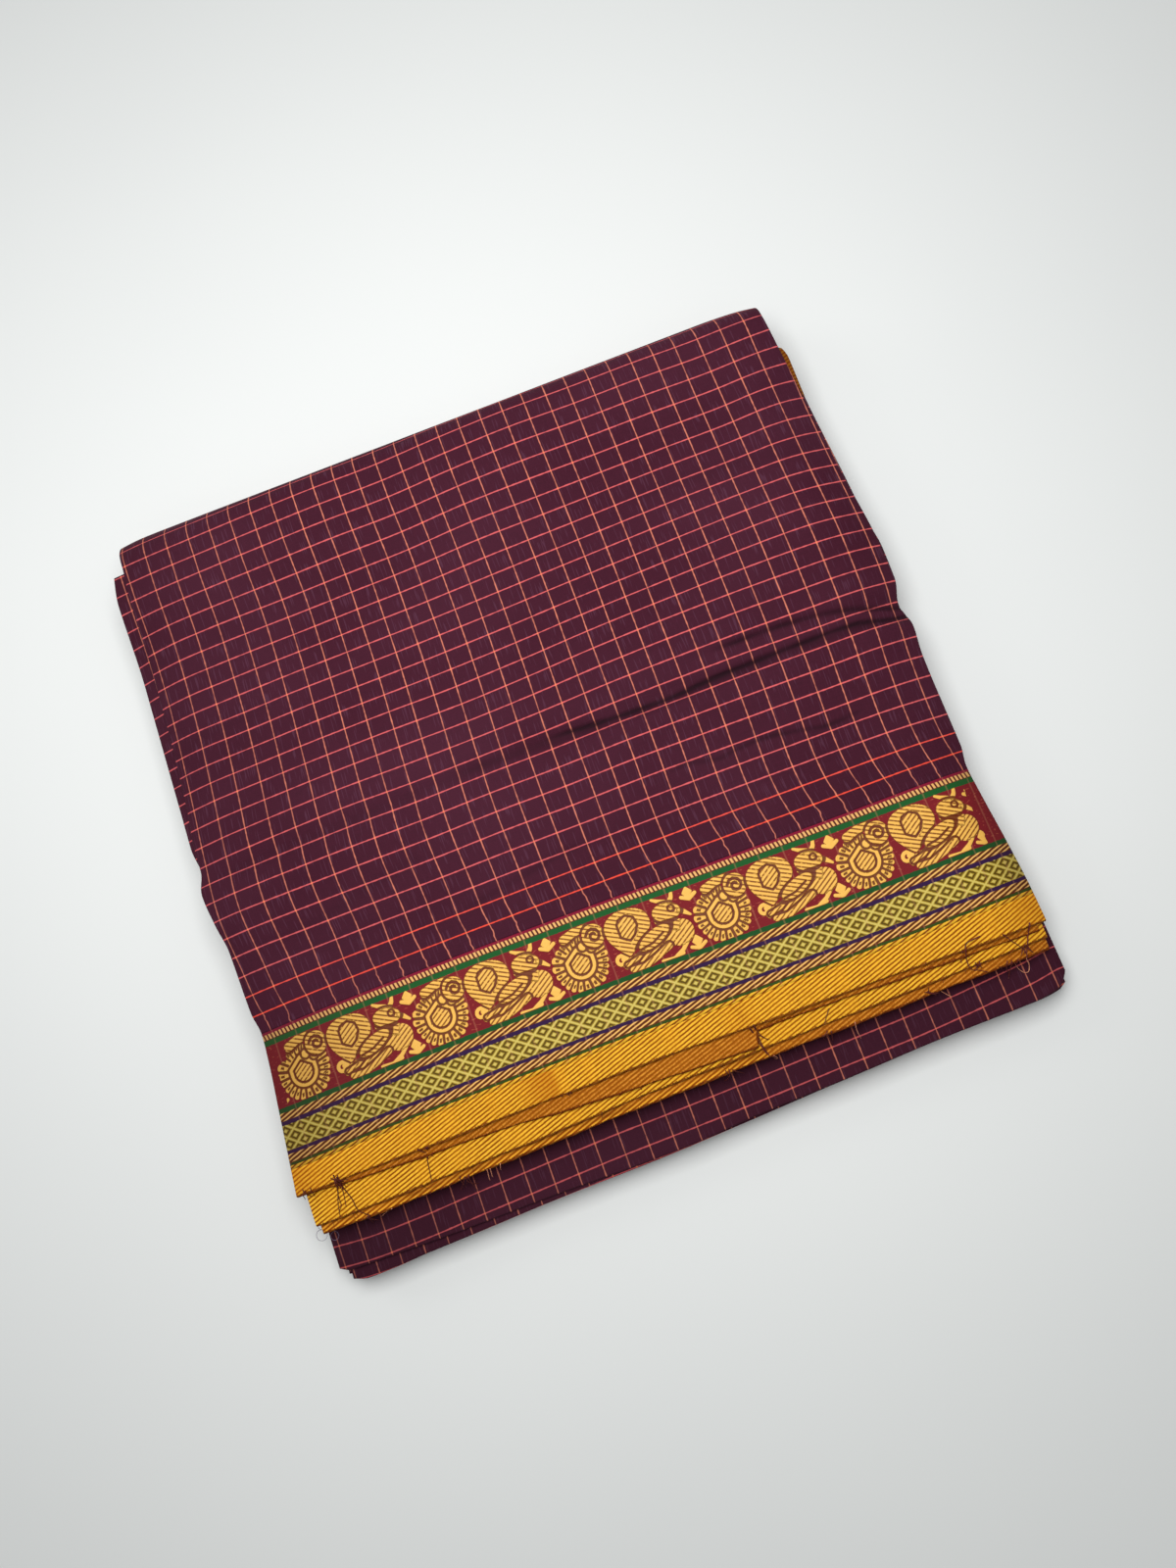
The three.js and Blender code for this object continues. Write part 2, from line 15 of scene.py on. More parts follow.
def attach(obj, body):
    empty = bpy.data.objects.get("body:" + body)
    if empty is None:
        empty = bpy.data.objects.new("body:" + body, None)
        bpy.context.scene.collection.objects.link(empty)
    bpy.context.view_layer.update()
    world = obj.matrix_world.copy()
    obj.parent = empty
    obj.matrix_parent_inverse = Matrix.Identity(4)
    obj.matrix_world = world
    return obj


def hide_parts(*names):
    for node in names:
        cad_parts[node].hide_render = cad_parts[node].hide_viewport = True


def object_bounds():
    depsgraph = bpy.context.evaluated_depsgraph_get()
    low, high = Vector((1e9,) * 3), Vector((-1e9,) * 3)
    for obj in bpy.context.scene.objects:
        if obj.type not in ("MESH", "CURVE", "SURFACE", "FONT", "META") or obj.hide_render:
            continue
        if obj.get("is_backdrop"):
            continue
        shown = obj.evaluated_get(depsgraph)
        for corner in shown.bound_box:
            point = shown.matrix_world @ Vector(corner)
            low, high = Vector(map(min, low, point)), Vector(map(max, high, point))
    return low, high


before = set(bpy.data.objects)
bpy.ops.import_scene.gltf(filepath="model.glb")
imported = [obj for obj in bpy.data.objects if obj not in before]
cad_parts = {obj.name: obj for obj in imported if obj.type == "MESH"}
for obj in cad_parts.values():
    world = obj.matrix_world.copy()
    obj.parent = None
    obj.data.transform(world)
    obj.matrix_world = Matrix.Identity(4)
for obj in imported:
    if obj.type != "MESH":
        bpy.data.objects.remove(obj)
cad_low, cad_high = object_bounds()
print("solids:", len(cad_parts), "box:", [round(v, 4) for v in cad_high - cad_low])

# %% [markdown]
# Everything in a scene is an object that shows some data: a mesh, a lamp or a camera. All meshes
# here are drawn with bmesh, and each is made where it lies, so its object stays at the origin.

# %% Objects and meshes
def place_object(name, data):
    """A new object in the scene that shows this mesh, lamp or camera."""
    placed = bpy.data.objects.new(name, data)
    bpy.context.scene.collection.objects.link(placed)
    return placed


def finished_mesh(name, shape):
    """The mesh that a bmesh describes; the bmesh itself is given up."""
    mesh = bpy.data.meshes.new(name)
    shape.to_mesh(mesh)
    shape.free()
    return mesh


# %% [markdown]
# ## Camera, floor and light
# The saree lies on a pale table and is seen from almost straight above, a little turned. A camera
# is easiest to aim with its three own axes: to the right, up, and back towards the viewer.

# %% Camera
MM = 0.001
CAMERA_PLACE = Vector((26.5, -101.4, 480.3)) * MM
CAMERA_RIGHT = Vector((0.93220, -0.34681, -0.10361))
CAMERA_BACK = Vector((0.03850, -0.18964, 0.98110))
LENS_MM = 27

camera_data = bpy.data.cameras.new("camera")
camera_data.lens = LENS_MM
camera_data.sensor_width = 36
camera_data.clip_start = 0.01
camera = place_object("camera", camera_data)
camera_up = CAMERA_BACK.cross(CAMERA_RIGHT).normalized()
camera_axes = Matrix((CAMERA_RIGHT, camera_up, CAMERA_BACK)).transposed()
camera.matrix_world = Matrix.Translation(CAMERA_PLACE) @ camera_axes.to_4x4()
bpy.context.scene.camera = camera
print("camera height:", round(camera.location.z, 3))

# %% [markdown]
# ## Small helpers for materials
# A shader is a small graph. These helpers add a node, set its plain values and link its inputs, so
# that each material below reads as a list of steps.


# %% Node helpers
def feed(tree, socket, given):
    """Link a socket to another node's output, or set its plain value."""
    if isinstance(given, bpy.types.NodeSocket):
        tree.links.new(given, socket)
    else:
        socket.default_value = given


def add_node(tree, kind, inputs=None, **settings):
    """Add a node, set its properties, and set or link its inputs by name or number."""
    node = tree.nodes.new(kind)
    for key, setting in settings.items():
        setattr(node, key, setting)
    for key, given in (inputs or {}).items():
        feed(tree, node.inputs[key], given)
    return node


def calc(tree, operation, *values):
    """One Math node; each value is a number or another node's output."""
    node = add_node(tree, "ShaderNodeMath", dict(enumerate(values)), operation=operation)
    return node.outputs[0]


def blend_colours(tree, share, first, second):
    """Mix two colours: share 0 gives the first and 1 the second."""
    node = add_node(tree, "ShaderNodeMix", data_type="RGBA")
    for key, given in (("Factor_Float", share), ("A_Color", first), ("B_Color", second)):
        feed(tree, next(socket for socket in node.inputs if socket.identifier == key), given)
    return next(socket for socket in node.outputs if socket.identifier == "Result_Color")


def soft_step(tree, value, low, high):
    """0 below low, 1 above high, and smooth between."""
    values = {0: value, 1: low, 2: high}
    return add_node(tree, "ShaderNodeMapRange", values, interpolation_type="SMOOTHSTEP").outputs[0]


def soft_fall(tree, value, low, high):
    """1 below low, 0 above high, and smooth between."""
    return calc(tree, "SUBTRACT", 1.0, soft_step(tree, value, low, high))


def within(tree, place, low, high, soft=0.15):
    """1 between two places, and 0 outside."""
    rise = soft_step(tree, place, low - soft, low + soft)
    return calc(tree, "MULTIPLY", rise, soft_fall(tree, place, high - soft, high + soft))


def zigzag(tree, turn):
    """1 at every whole turn, 0 half-way between, and straight in between."""
    return calc(tree, "ABSOLUTE", calc(tree, "MULTIPLY_ADD", calc(tree, "FRACT", turn), 2.0, -1.0))


def rgb(red, green, blue):
    """A colour given as it looks on a screen, from 0 to 255, as the linear light that shaders use."""

    def linear(part):
        part /= 255
        return part / 12.92 if part <= 0.04045 else ((part + 0.055) / 1.055) ** 2.4

    return (linear(red), linear(green), linear(blue), 1)


def new_material(name):
    """A material with only a Principled surface, its tree, and that surface's node."""
    material = bpy.data.materials.new(name)
    material.use_nodes = True
    return material, material.node_tree, material.node_tree.nodes["Principled BSDF"]


# %% [markdown]
# The table is one large plane. Its paint is a soft off-white with a very faint mottle, so that it
# doesn't look like an empty page.

# %% Floor
FLOOR_SIZE = 6.0
floor_shape = bmesh.new()
bmesh.ops.create_grid(floor_shape, x_segments=1, y_segments=1, size=FLOOR_SIZE / 2)
floor = place_object("table", finished_mesh("table", floor_shape))
floor_material, floor_tree, floor_surface = new_material("pale_table")
floor_place = add_node(floor_tree, "ShaderNodeTexCoord").outputs["Object"]
mottle = add_node(floor_tree, "ShaderNodeTexNoise", {"Vector": floor_place, "Scale": 3.0, "Detail": 2.0})
floor_colour = blend_colours(floor_tree, mottle.outputs[0], rgb(228, 230, 229), rgb(235, 237, 235))
floor_tree.links.new(floor_colour, floor_surface.inputs["Base Color"])
floor_surface.inputs["Roughness"].default_value = 0.55
floor.data.materials.append(floor_material)
floor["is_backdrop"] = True
print("table:", FLOOR_SIZE, "m wide")

# %% [markdown]
# Most light comes from a soft panel straight above, a little towards the back. A weak low window at
# the back left grazes the cloth, so that its creases show, and the room fills the shadows.

# %% Lights
LIGHTS = [
    # name, place, turned to, width and height, watts
    {"name": "ceiling", "place": (0.01, 0.1, 0.56), "to": (0.01, 0.1, 0), "size": (0.45, 0.45),
     "watts": 3.3},
    {"name": "window", "place": (-0.75, 0.62, 0.42), "to": (0, 0, 0), "size": (0.5, 0.4), "watts": 1.3},
]
for row in LIGHTS:
    lamp_data = bpy.data.lights.new(row["name"], "AREA")
    lamp_data.shape = "RECTANGLE"
    lamp_data.size, lamp_data.size_y = row["size"]
    lamp_data.energy = row["watts"]
    lamp = place_object(row["name"], lamp_data)
    lamp.location = row["place"]
    aim = Vector(row["to"]) - lamp.location
    lamp.rotation_euler = aim.to_track_quat("-Z", "Y").to_euler()

world = bpy.data.worlds.new("room")
world.use_nodes = True
world.node_tree.nodes["Background"].inputs[0].default_value = (0.96, 0.98, 0.985, 1)
world.node_tree.nodes["Background"].inputs[1].default_value = 0.30
bpy.context.scene.world = world
bpy.context.scene.view_settings.view_transform = "Standard"
print("lights:", len(LIGHTS))

# %% [markdown]
# ## The shape that every leaf follows
# The cloth is doubled across its width, folded into leaves along its length, and folded over once
# more. So there is an upper and a lower stack of leaves, joined by one broad back fold. The sizes
# and tables of the solids are used here, in millimetres, so that the cloth fits them. A few edges
# are drawn in or out by a millimetre or two, where the thin cloth shows them more exactly.

# %% Sizes, in millimetres
CLOTH_LENGTH = 8230.0
LEAF_COUNT = 28
HALF_PANEL = CLOTH_LENGTH / LEAF_COUNT / 2
STACK = 13.5
LEAF = 1.2
STRIP = 1.0
GAP = 0.3
SLIT = 0.3
BACK_FOLD = 144.9
BACK_SLANT = -0.017
BORDER_SEAM = -58.6
UPPER_END = -92.6
LOWER_END = -114.4
UNDER_SEAM = 92.0
FRONT_END = -150
# how deep each strip at the front lies below the top leaf, and how high the centre folds reach
REVERSE_DEPTH, SECOND_DEPTH, SECOND_REVERSE_DEPTH, EDGES_DEPTH = 1.5, 2.8, 4.1, 5.4
FIRST_FOLD_TOP, SECOND_FOLD_TOP, OTHER_FOLDS_TOP = 12.6, 11.1, 9.6

LEFT_DROP = {"width": 20, "depth": 3.5}
RIGHT_DROP = {"width": 26, "depth": 7}
UNDER_DROP = {"width": 12, "depth": 2.2}
FOLD_DROP = {"width": 14, "depth": 1.4}
BACK_FILL = {"from": 96, "to": 144, "share": 0.75}
FRONT_FALL = {"start": 45, "end": 140, "left": 2.2, "right": 3.6}

# %% [markdown]
# Each table has a row for each place, and columns that say how far an edge stands out there.

# %% Tables of the edges, in millimetres
TOP_EDGES = {
    "at": [-125, -109.5, -90.5, -70.5, -59.5, -50.5, -24.5, -12.5, 1.5, 10.5, 21.5, 35.5, 65.5,
           95.5, 110, 131.5, 147],
    "left": [6.4, 4.7, 2.6, 0.4, -0.3, 1.2, 2.1, 4.5, 6.3, 4, 3.8, 2.1, 0.1, -1, -1.3, -1.8, -3],
    "right": [5.9, 5.4, 4, 2.3, 1.6, 2.8, 2.9, 3.2, 4.6, 3.1, 5.4, 5.3, 3.5, 2.1, 1.1, -0.7, -1.8],
}
LOWER_EDGES = {
    "at": [-160, -115, -60, 0, 35, 95, 147],
    "left": [1, 0.6, -1.6, 2.2, 0.6, -2, -1.6],
    "right": [3.6, 3, 0.2, 2, 4, 1.2, 0],
}
SELVEDGE_FRONT = {
    "at": [-154, -9, 31, 91, 153],
    "front": [-122.9, -122.1, -123, -123.8, -124.8],
}
REVERSE_FRONT = {
    "at": [-150, -130, -107, -69, -39, 34.2, 35.2, 91, 150],
    "front": [-123.4, -124.5, -125.2, -126.3, -128.2, -130.8, -125.0, -125.9, -127.4],
}
SECOND_FRONT = {
    "at": [-150, -69, -9, 91, 150],
    "front": [-136.2, -134.9, -133.0, -131.6, -130.7],
}
SECOND_REVERSE_FRONT = {
    "at": [-150, -109, -69, 31, 150],
    "front": [-139.4, -139.2, -138.0, -136.1, -134.9],
}
SELVEDGE_EDGES_FRONT = {
    "at": [-150, 0, 150],
    "front": [-136.4, -134.2, -131.8],
}
FIRST_FOLD_FRONT = {
    "at": [-149.2, -144.5, -9, 31, 91, 138, 145.5, 151, 153.6],
    "front": [-154.6, -156.4, -156.7, -154.7, -152.6, -151.3, -150.4, -148.2, -144],
}
SECOND_FOLD_FRONT = {
    "at": [-145.3, -139, -126, -114, -69, -30, 20, 60, 115, 140, 149, 153],
    "front": [-160, -161.6, -161.2, -160.3, -158.8, -157.8, -156.2, -153.9, -152, -151.5, -150.4, -147.8],
}
CENTRE_FOLDS_FRONT = {
    "at": [-147, -139, -114, -69, -9, 60, 138, 150],
    "front": [-158, -160.4, -159.4, -158, -156, -152.8, -149.9, -147],
}
LEFT_LEAF_EDGE = {
    "at": [-93, -40, -12, 1.5, 10.5, 21.5, 40, 95, 131.5, 146],
    "out": [-1.2, -1, 1.9, 4, 4.3, 6.1, 6, 5.4, 4.7, 2.4],
}
RIGHT_LEAF_EDGE = {
    "at": [-93, -24.5, 1.5, 10.5, 21.5, 35.5, 50, 65.5, 95.5, 107.5],
    "out": [-1, 1, 2, 2, 5.8, 6.3, 4.6, 4.4, 3.1, 2.5],
}
INNER_SELVEDGE_EDGE = {
    "at": [107.8, 125, 129.5, 132, 141.5],
    "out": [2.6, 2.4, 1.2, -2.2, -2.2],
}
print("leaf width:", round(2 * HALF_PANEL, 1), "mm")

# %% [markdown]
# A table is read on a smooth curve that never overshoots a row.


# %% Reading a table
def read(table, column, at):
    """Read a column at one or many places, smoothly and without overshoot."""
    rows = np.array(table["at"], float)
    values = np.array(table[column], float)
    at = np.clip(np.asarray(at, float), rows[0], rows[-1])
    k = np.clip(np.searchsorted(rows, at, side="right") - 1, 0, len(rows) - 2)
    steps = np.diff(rows)
    slopes = np.diff(values) / steps
    product = slopes[:-1] * slopes[1:]
    mean = 2 * product / np.where(product > 0, slopes[:-1] + slopes[1:], 1)
    tangent = np.concatenate(([slopes[0]], np.where(product > 0, mean, 0), [slopes[-1]]))
    t = (at - rows[k]) / steps[k]
    start = values[k] * (1 + 2 * t) * (1 - t) ** 2 + tangent[k] * steps[k] * t * (1 - t) ** 2
    return start + values[k + 1] * t * t * (3 - 2 * t) - tangent[k + 1] * steps[k] * t * t * (1 - t)


def smooth(value, low, high):
    """0 below low, 1 above high, and smooth between."""
    t = np.clip((value - low) / (high - low), 0, 1)
    return t * t * (3 - 2 * t)


# %% [markdown]
# The top of the upper stack isn't flat. It has broad hollows and swells, three pressed creases, and
# it rounds off towards its side folds. The finer creases and the shallow ripples are only here and
# not in the solids.

# %% Relief of the top leaf
SWELLS = [
    {"x": -57, "y": 82, "reach_x": 42, "reach_y": 34, "rise": -2.6},
    {"x": 116, "y": 44, "reach_x": 38, "reach_y": 22, "rise": 2.4},
    {"x": -119, "y": -25, "reach_x": 45, "reach_y": 28, "rise": 2.0},
    {"x": 120, "y": -60, "reach_x": 50, "reach_y": 30, "rise": -2.0},
]
CREASES = [
    {"start": (-150, 4.5), "end": (-30, 8.5), "depth": 0.9, "reach": 4.5},
    {"start": (-40, 9), "end": (156, 6.8), "depth": 1.7, "reach": 4.5},
    {"start": (50, 18.2), "end": (156, 11.4), "depth": 1.3, "reach": 3.6},
]
FINE_CREASES = [
    # the crease's y along x, its depth and reach, and how much shade is painted into it
    {"at": [-40, 0, 26, 50, 73, 94, 112, 129, 143, 156],
     "y": [8.8, 8.0, 6.9, 6.4, 7.2, 7.4, 7.2, 6.6, 4.9, 3.5], "depth": 0.55, "reach": 2.0, "shade": 0.5},
    {"at": [-4, 4, 26, 50, 73, 94, 112, 129, 143, 156],
     "y": [9.4, 9.3, 7.9, 7.0, 8.4, 8.6, 8.6, 8.1, 5.5, 4.2], "depth": 0.45, "reach": 0.8, "shade": 0.95},
    {"at": [70, 95, 111, 127, 145, 156],
     "y": [18.6, 18.1, 17.0, 14.5, 9.9, 8.0], "depth": 0.5, "reach": 1.0, "shade": 0.8},
    {"at": [36, 47, 61, 67, 78, 91, 105, 120],
     "y": [-20.8, -20.6, -23.2, -22.3, -21.9, -23.7, -26.2, -25.5],
     "depth": 0.38, "reach": 1.0, "shade": 0.62},
    {"at": [-58, 0], "y": [-43.5, -34.5], "depth": 0.28, "reach": 1.5, "shade": 0.25},
    {"at": [-150, -90, -30], "y": [4.5, 6.5, 8.5], "depth": 0.2, "reach": 2.2, "shade": 0.18},
    {"at": [-150, -96], "y": [60, 66], "depth": 0.2, "reach": 2.4, "shade": 0.12},
    {"at": [62, 148], "y": [92, 84], "depth": 0.18, "reach": 2.8, "shade": 0.12},
    {"at": [-128, -60], "y": [-30, -16], "depth": 0.22, "reach": 2.2, "shade": 0.14},
]
print("hollows, swells and creases:", len(SWELLS) + len(CREASES) + len(FINE_CREASES))

# %% [markdown]
# A crease is a soft trough beside a line. The fine ones are broken along their way, because creased
# cloth springs back in places, and their shade is painted into the cloth's colour by the material.


# %% Depth of the creases
def crease_depth(x, y, crease):
    """How deep one crease is at a place: a soft trough that runs out at both ends."""
    (start_x, start_y), (end_x, end_y) = crease["start"], crease["end"]
    t = (x - start_x) / (end_x - start_x)
    offset = (y - start_y - (end_y - start_y) * t) / crease["reach"]
    ends = smooth(t, -0.02, 0.25) * (1 - smooth(t, 1.0, 1.05))
    return crease["depth"] * ends * np.exp(-offset * offset)


def fine_crease(x, y, crease, column):
    """Depth or shade of a fine crease, which is broken along its way and fades at both ends."""
    first, last = crease["at"][0], crease["at"][-1]
    offset = (y - read(crease, "y", x)) / crease["reach"]
    ends = smooth(x, first, first + 14) * (1 - smooth(x, last - 6, last))
    broken = 0.82 + 0.18 * np.sin(x / 5.3 + 2 * np.sin(x / 13 + crease["reach"] * 5))
    return crease[column] * ends * broken * np.exp(-offset * offset)


def ripple(x, y):
    """The slight unevenness of cloth that has been folded and pressed."""
    waves = 0.12 * np.sin(x / 23 + 1.3 * np.sin(y / 41))
    waves += 0.09 * np.sin(y / 17 + 0.9 * np.sin(x / 37 + 2.0))
    return waves + 0.05 * np.sin((x + 0.6 * y) / 9.5 + np.sin(y / 29))


# %% [markdown]
# The height of the top leaf is the sum of all of these. The front falls away a little, more at the
# right.

# %% Height of the top leaf
def top_relief(x, y):
    """Height of the upper stack's top above its nominal thickness."""
    rise = np.zeros(np.broadcast(x, y).shape)
    for swell in SWELLS:
        dx = (x - swell["x"]) / swell["reach_x"]
        dy = (y - swell["y"]) / swell["reach_y"]
        rise = rise + swell["rise"] * np.exp(-dx * dx - dy * dy)
    rise = rise * (1 - smooth(y, 95, BACK_FOLD - 4))
    for crease in CREASES:
        rise = rise - crease_depth(x, y, crease)
    share = (x + HALF_PANEL) / (2 * HALF_PANEL)
    fall = FRONT_FALL["left"] + (FRONT_FALL["right"] - FRONT_FALL["left"]) * share
    return rise - fall * smooth(-y, FRONT_FALL["start"], FRONT_FALL["end"])


def fine_relief(x, y):
    """What only the cloth shows: shallow creases and ripples, fading towards the back fold."""
    rise = ripple(x, y)
    for crease in FINE_CREASES:
        rise = rise - fine_crease(x, y, crease, "depth")
    return rise * (1 - smooth(y, 120, BACK_FOLD))


def painted_crease_shade(x, y):
    """Painted shade: how much darker the cloth is coloured at a place, along its fine creases."""
    return np.clip(sum(fine_crease(x, y, crease, "shade") for crease in FINE_CREASES), 0, 0.9)


# %% [markdown]
# At its sides the top leaf goes down towards the folds, more at the right, where the stack is lower.
# At the back it keeps its height until it turns down in the broad back fold.

# %% Edges and the back fold
def edges(table, y):
    """Left and right edge of a leaf."""
    return -HALF_PANEL - read(table, "left", y), HALF_PANEL + read(table, "right", y)


def round_off(distance, drop):
    """How far the cloth has gone down, this far in from its side fold."""
    inside = np.maximum(drop["width"] - distance, 0) / drop["width"]
    return drop["depth"] * inside * inside


def upper_drop(x, y):
    left, right = edges(TOP_EDGES, y)
    kept = 1 - BACK_FILL["share"] * smooth(y, BACK_FILL["from"], BACK_FILL["to"])
    return (round_off(x - left, LEFT_DROP) + round_off(right - x, RIGHT_DROP)) * kept


def under_drop(x, y):
    left, right = edges(LOWER_EDGES, y)
    return round_off(x - left, UNDER_DROP) + round_off(right - x, UNDER_DROP)


def turn_line(x):
    """Y at which the back fold starts."""
    return BACK_FOLD + BACK_SLANT * x


print("top of the middle:", round(float(2 * STACK + top_relief(0, 0)), 2), "mm")

# %% [markdown]
# ## Where each thread lies
# Each place has cloth coordinates, along the border and across it, and this table says how far the
# cloth has drifted from them.

# %% Drift of the threads, in millimetres
WEFT_PITCH = 9.6
WARP_PITCH = 7.909
FIRST_WEFT = -8.75
FIRST_WARP = 35.634
DRIFT_WEFTS = {"first": -14, "step": 3}
DRIFT_WARPS = {"first": -12, "step": 3}
DRIFT = [
    # sideways and endways drift at every third weft line, for every third warp line
    {"side": [0.5, 1.5, 1.5, 1.3, 0.8, 0.7, 0.7, 0.7, 0.4, 0.3, 2.3],
     "end": [-0.3, 0.1, 0.6, 0.8, 0.2, 1.2, 1.5, 0.4, -0.1, -1.2, -0.4]},
    {"side": [0.9, 2.2, 2.2, 1.8, 1.5, 1.0, 0.9, 0.7, 0.4, 0.6, 2.5],
     "end": [-1.7, -1.1, -0.9, -0.6, -0.9, -0.1, -0.5, -0.8, -1.1, -1.6, -0.5]},
    {"side": [0.5, 1.7, 1.7, 1.3, 1.4, 1.2, 1.0, 0.8, 0.6, 0.9, 2.8],
     "end": [-2.0, -1.5, -0.8, -0.4, -1.0, -1.1, -0.9, -0.5, -0.4, -0.8, -1.2]},
    {"side": [-0.8, 0.9, 0.8, 0.9, 1.3, 0.9, 0.9, 0.6, 0.6, 1.1, 3.2],
     "end": [-1.5, -1.2, -0.4, -0.4, -0.7, -0.6, 0.0, 0.4, 0.6, 0.4, -0.8]},
    {"side": [-2.5, -0.7, -0.3, 0.0, 0.5, 0.4, 0.3, 0.2, 0.3, 0.8, 3.1],
     "end": [-0.4, 0.1, 0.5, 0.5, -0.1, 0.4, 1.5, 1.9, 1.5, 0.4, -0.3]},
    {"side": [-4.5, -2.6, -1.7, -1.1, -0.6, -0.4, 0.0, -0.1, 0.0, 0.5, 2.0],
     "end": [-0.2, 0.6, 1.2, 0.6, 0.6, 0.7, 1.3, 1.2, 1.0, 0.1, -0.3]},
    {"side": [-5.3, -3.0, -2.3, -1.8, -1.1, -0.7, -0.4, -0.8, -1.0, -1.2, -0.5],
     "end": [0.6, 0.6, 0.6, 0.5, 0.9, 0.5, 0.7, 0.2, -0.3, -0.9, -1.0]},
    {"side": [-2.3, -0.6, -0.3, -0.5, -0.5, -0.7, -0.9, -1.6, -2.0, -2.1, -1.4],
     "end": [-0.3, -0.2, 0.0, -0.1, 0.0, -0.1, -0.3, -0.5, -0.9, -1.3, -2.2]},
    {"side": [0.0] * 11,
     "end": [-1.0, -0.4, -0.15, 0.0, -0.1, -0.35, -0.95, -1.4, -1.75, -1.85, -1.9]},
]
DRIFT_GRID = {key: np.array([row[key] for row in DRIFT]) for key in ("side", "end")}

# %% [markdown]
# Between the rows of that table the drift is blended smoothly, so that the lines bend without kinks.


# %% Reading the drift
def blend_weights(t):
    """Four weights for a smooth curve through evenly spaced rows."""
    return (
        (-t + 2 * t * t - t**3) / 2,
        (2 - 5 * t * t + 3 * t**3) / 2,
        (t + 4 * t * t - 3 * t**3) / 2,
        (t**3 - t * t) / 2,
    )


def drift(key, along, over):
    """Drift at cloth coordinates: along the border, and across it."""
    grid = DRIFT_GRID[key]
    wefts = ((along - FIRST_WEFT) / WEFT_PITCH - DRIFT_WEFTS["first"]) / DRIFT_WEFTS["step"]
    warps = ((FIRST_WARP - over) / WARP_PITCH - DRIFT_WARPS["first"]) / DRIFT_WARPS["step"]
    wefts = np.clip(wefts, 0, grid.shape[1] - 1)
    warps = np.clip(warps, 0, grid.shape[0] - 1)
    column = np.minimum(wefts.astype(int), grid.shape[1] - 2)
    row = np.minimum(warps.astype(int), grid.shape[0] - 2)
    total = 0.0
    for down, row_weight in enumerate(blend_weights(warps - row)):
        at_row = np.clip(row + down - 1, 0, grid.shape[0] - 1)
        for aside, column_weight in enumerate(blend_weights(wefts - column)):
            at_column = np.clip(column + aside - 1, 0, grid.shape[1] - 1)
            total = total + row_weight * column_weight * grid[at_row, at_column]
    return total


print("largest drift:", max(float(np.abs(g).max()) for g in DRIFT_GRID.values()), "mm")

# %% [markdown]
# ## Bending a flat sheet into a leaf
# Every cloth starts as a flat grid, which is what cloth is, and each of its points is then moved to
# where it lies. The grid keeps its cloth coordinates as a UV map in millimetres, so the weave
# follows every fold. A Solidify modifier gives the sheet its thickness on the inside.


# %% Cloth from a grid
def place_cloth(name, mesh, wall):
    """Put a mesh in the scene as a cloth, with its thickness in mm on its inside."""
    piece = place_object(name, mesh)
    thickness = piece.modifiers.new("cloth_thickness", "SOLIDIFY")
    thickness.thickness = wall * MM
    thickness.offset = -1
    return piece


def bend_sheet(name, rows, columns, shape, wall=0.3, marks=None):
    """A cloth of rows x columns points; columns is a number, or the columns of a leaf.

    shape gives x, y, z and the two cloth coordinates of each point, all in mm.
    """
    columns = len(columns["share"]) if isinstance(columns, dict) else columns
    flat = bmesh.new()
    bmesh.ops.create_grid(flat, x_segments=columns - 1, y_segments=rows - 1, size=1)
    mesh = finished_mesh(name, flat)
    spots = np.empty(len(mesh.vertices) * 3)
    mesh.vertices.foreach_get("co", spots)
    spots = spots.reshape(-1, 3)
    column = np.rint((spots[:, 0] + 1) / 2 * (columns - 1)).astype(int)
    row = np.rint((spots[:, 1] + 1) / 2 * (rows - 1)).astype(int)
    x, y, z, along, over = shape(row, column)
    mesh.vertices.foreach_set("co", (np.stack((x, y, z), axis=1) * MM).ravel())
    corners = np.empty(len(mesh.loops), dtype=np.int32)
    mesh.loops.foreach_get("vertex_index", corners)
    threads = mesh.uv_layers.new(name="threads")
    threads.data.foreach_set("uv", np.stack((along[corners], over[corners]), axis=1).ravel())
    for key, values in (marks(along, over) if marks else {}).items():
        mesh.attributes.new(key, "FLOAT", "POINT").data.foreach_set("value", values)
    mesh.shade_smooth()
    return place_cloth(name, mesh, wall)


def join_sheets(name, sheets):
    """Make one piece of several sheets."""
    wall = sheets[0].modifiers[0].thickness / MM
    joined = bmesh.new()
    for sheet in sheets:
        joined.from_mesh(sheet.data)
    mesh = finished_mesh(name, joined)
    mesh.shade_smooth()
    for sheet in sheets:
        bpy.data.objects.remove(sheet)
    return place_cloth(name, mesh, wall)


# %% [markdown]
# A leaf's sides are folds: the cloth comes over the top, turns through half a circle at the edge and
# goes back underneath. So the columns of the grid run from under the left fold, round it, over the
# top, and under the right one. Each column has its share of the width, its turn and its tuck.


# %% Columns across a leaf
TURN_STEPS = 6


def across_leaf(count, tuck=6.0):
    """Columns of a leaf folded at both sides, with `count` of them over the top."""
    turn = np.linspace(0, math.pi, TURN_STEPS + 1)
    ones, none = np.ones(TURN_STEPS), np.zeros(count)
    return {
        "share": np.concatenate(([0], 0 * ones, np.linspace(0, 1, count), ones, [1])),
        "side": np.concatenate(([-1], -ones, none, ones, [1])),
        "turn": np.concatenate(([math.pi], turn[:0:-1], none, turn[1:], [math.pi])),
        "tuck": np.concatenate(([tuck], 0 * ones, none, 0 * ones, [tuck])),
    }


